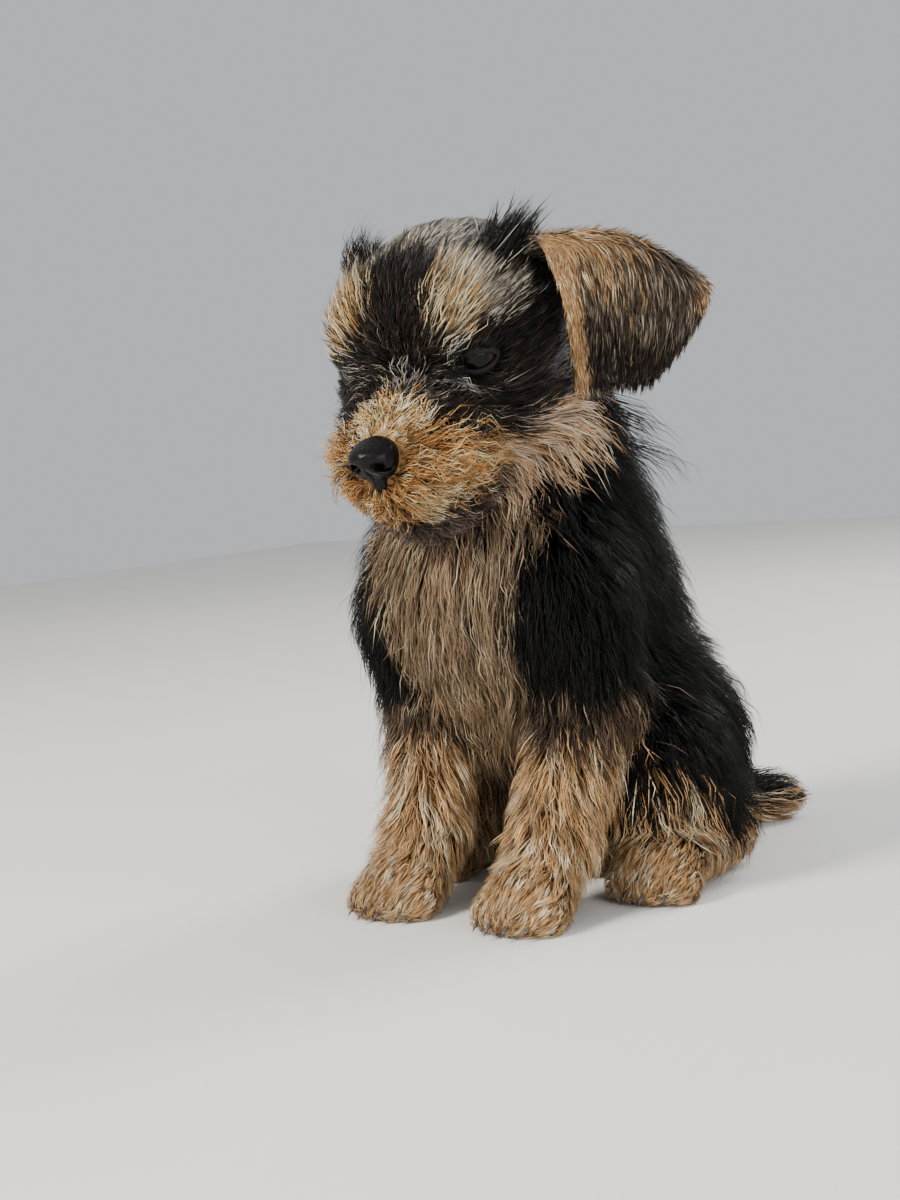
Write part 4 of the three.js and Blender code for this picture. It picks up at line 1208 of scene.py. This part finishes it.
def nose_field(points):
    """Leather with a flat top, two nostrils open to the side, and a groove below between them"""
    _, y, z = NOSE_AT
    lobes = [head_egg(0, y, z + 1.4, (NOSE_HALF_WIDTH - 0.2, 5.6, 5.4))]
    lobes.append(head_egg(0, y - 1, z - 5.4, (2.6, 4, 4.2)))
    for s in (-1, 1):
        lobes.append(head_egg(s * (NOSE_HALF_WIDTH - 2.8), y - 0.5, z - 0.6, (3.0, 5.2, 4.4)))
    leather = blend(lobes, 2)(points)
    across, ahead, up = (folded_places(points) - NOSE_AT).T
    flat_top = up + 0.12 * ahead + 0.03 * across**2 - 4.6
    leather = -merge([-leather, -flat_top], 1.6)
    hole = np.hypot((across - 3.3 + 0.3 * (ahead - 4)) / 1.6, (up + 0.2) / 1.25) - 1
    slit = np.hypot((across - 5.4) / 2.4, (up + 1.4 + 0.3 * (across - 3.4)) / 0.5) - 1
    nostril = np.maximum(np.minimum(hole * 1.3, slit * 0.5), 1.2 - ahead)
    groove = np.maximum(0.45 - across, 0) * 1.2 * fade(up, -2.5, 0.5)
    return np.maximum(leather + groove, -nostril)


def build_nose():
    middle = head_spot(*NOSE_AT)
    points, faces = surface_net(nose_field, middle - 11, middle + 11, NOSE_CELL)
    nose = make_mesh("nose_leather", settle(nose_field, points, 2), faces)
    dress(nose, nose_material(), "nose_leather", "nose")


def build_eyes():
    material = eye_material()
    columns, rows = 48, 28
    for side, eye in eyes.items():
        turns = np.arange(columns) / columns * 2 * math.pi
        angle, polar = np.meshgrid(turns, np.linspace(0.02, math.pi - 0.02, rows))
        radius = EYE_RADIUS + CORNEA_RISE * np.exp(-((polar / 0.55) ** 2))
        parts = (
            (np.sin(polar) * np.cos(angle), eye["across"]),
            (np.sin(polar) * np.sin(angle), eye["upward"]),
            (np.cos(polar), eye["gaze"]),
        )
        points = eye["centre"] + sum((radius * share)[..., None] * way for share, way in parts)
        grid = np.arange(rows * columns).reshape(rows, columns)
        a, b = grid[:-1], grid[1:]
        faces = np.stack([a, b, np.roll(b, -1, 1), np.roll(a, -1, 1)], axis=-1).reshape(-1, 4)
        faces = facing_out(points.reshape(-1, 3), faces)
        ball = make_mesh(f"eyeball_{side}", points.reshape(-1, 3), faces)
        rings = ball.data.uv_layers.new(name="Rings")
        depth = (polar / 1.3).clip(0, 1).ravel()[faces.ravel()]
        rings.data.foreach_set("uv", np.stack([angle.ravel()[faces.ravel()] / 7, depth], axis=1).ravel())
        dress(ball, material, "eye", f"eye_{side}")


def build_claws():
    """A short dark claw at the front of each toe, curved down to the floor"""
    paths = []
    steps = np.linspace(0, 1, 5)
    for s in (-1, 1):
        for x, y, z in toe_spots(forepaw_at(s)) + toe_spots(hindpaw_at(s)):
            ahead = y - 4 - CLAW_LENGTH * steps
            paths.append(np.stack([x + 0 * steps, ahead, z + 0.8 - CLAW_DROP * steps**1.8], axis=1))
    path = np.array(paths)
    outs = np.tile([0.0, 0, 1], (*path.shape[:2], 1))
    points, faces, _ = blades(path, outs, np.full(len(path), CLAW_WIDTH))
    claws = make_mesh("claws", points, faces)
    dress(claws, claw_material(), "nose_leather")


build_coat()
build_nose()
build_eyes()
build_claws()

# Floor, lights and camera
square = FLOOR_HALF * np.array([(-1, -1, 0), (1, -1, 0), (1, 1, 0), (-1, 1, 0)], float)
floor = make_mesh("floor", square - OFFSET, np.array([[0, 1, 2, 3]]))
floor.data.materials.append(floor_material())


def area_light(name, place, target, size, power, colour):
    light = bpy.data.lights.new(name, "AREA")
    light.size = size
    light.energy = power
    light.color = colour
    lamp = bpy.data.objects.new(name, light)
    lamp.location = place
    lamp.rotation_euler = (Vector(target) - Vector(place)).to_track_quat("-Z", "Y").to_euler()
    bpy.context.scene.collection.objects.link(lamp)


area_light("key", (-0.35, -0.95, 0.75), (0, 0, 0.1), 0.35, 23, (1.0, 0.95, 0.87))
area_light("fill", (1.1, -0.5, 0.4), (0, 0, 0.1), 0.9, 12, (0.96, 0.97, 1.0))
area_light("rim", (0.3, 0.9, 0.8), (0, 0, 0.12), 0.5, 12, (1.0, 0.98, 0.95))
world = bpy.data.worlds.new("studio")
world.use_nodes = True
backdrop = world.node_tree.nodes["Background"].inputs
backdrop["Color"].default_value = (0.88, 0.90, 0.93, 1)
backdrop["Strength"].default_value = 0.65
bpy.context.scene.world = world

# Camera: its angle round the puppy, and the photograph's pixel where a spot on the face falls
FOCAL_PIXELS = 1850
FRAME_PIXELS = (900, 1200)
AZIMUTH, ELEVATION, ROLL = 39, 5, 5
DISTANCE = 487
SENSOR_WIDTH = 36
FACE_SPOT = head_spot(0, 25, -1)
FACE_PIXEL = (413, 370)


def place_camera():
    a, e, r = (math.radians(angle) for angle in (AZIMUTH, ELEVATION, ROLL))
    ahead = -np.array([math.sin(a) * math.cos(e), -math.cos(a) * math.cos(e), math.sin(e)])
    level = np.array([math.cos(a), math.sin(a), 0])
    upright = np.cross(level, ahead)
    right = math.cos(r) * level - math.sin(r) * upright
    up = math.sin(r) * level + math.cos(r) * upright
    aside = (FACE_PIXEL[0] - FRAME_PIXELS[0] / 2) / FOCAL_PIXELS * DISTANCE
    above = (FRAME_PIXELS[1] / 2 - FACE_PIXEL[1]) / FOCAL_PIXELS * DISTANCE
    place = FACE_SPOT - DISTANCE * ahead - aside * right - above * up
    data = bpy.data.cameras.new("camera")
    data.sensor_width = SENSOR_WIDTH
    data.lens = SENSOR_WIDTH * FOCAL_PIXELS / max(FRAME_PIXELS)
    data.clip_start, data.clip_end = 0.01, 20
    camera = bpy.data.objects.new("camera", data)
    turned = np.eye(4)
    turned[:3, 0], turned[:3, 1], turned[:3, 2] = right, up, -ahead
    turned[:3, 3] = (place + OFFSET) / 1000
    camera.matrix_world = Matrix(turned)
    bpy.context.scene.collection.objects.link(camera)
    bpy.context.scene.camera = camera


place_camera()
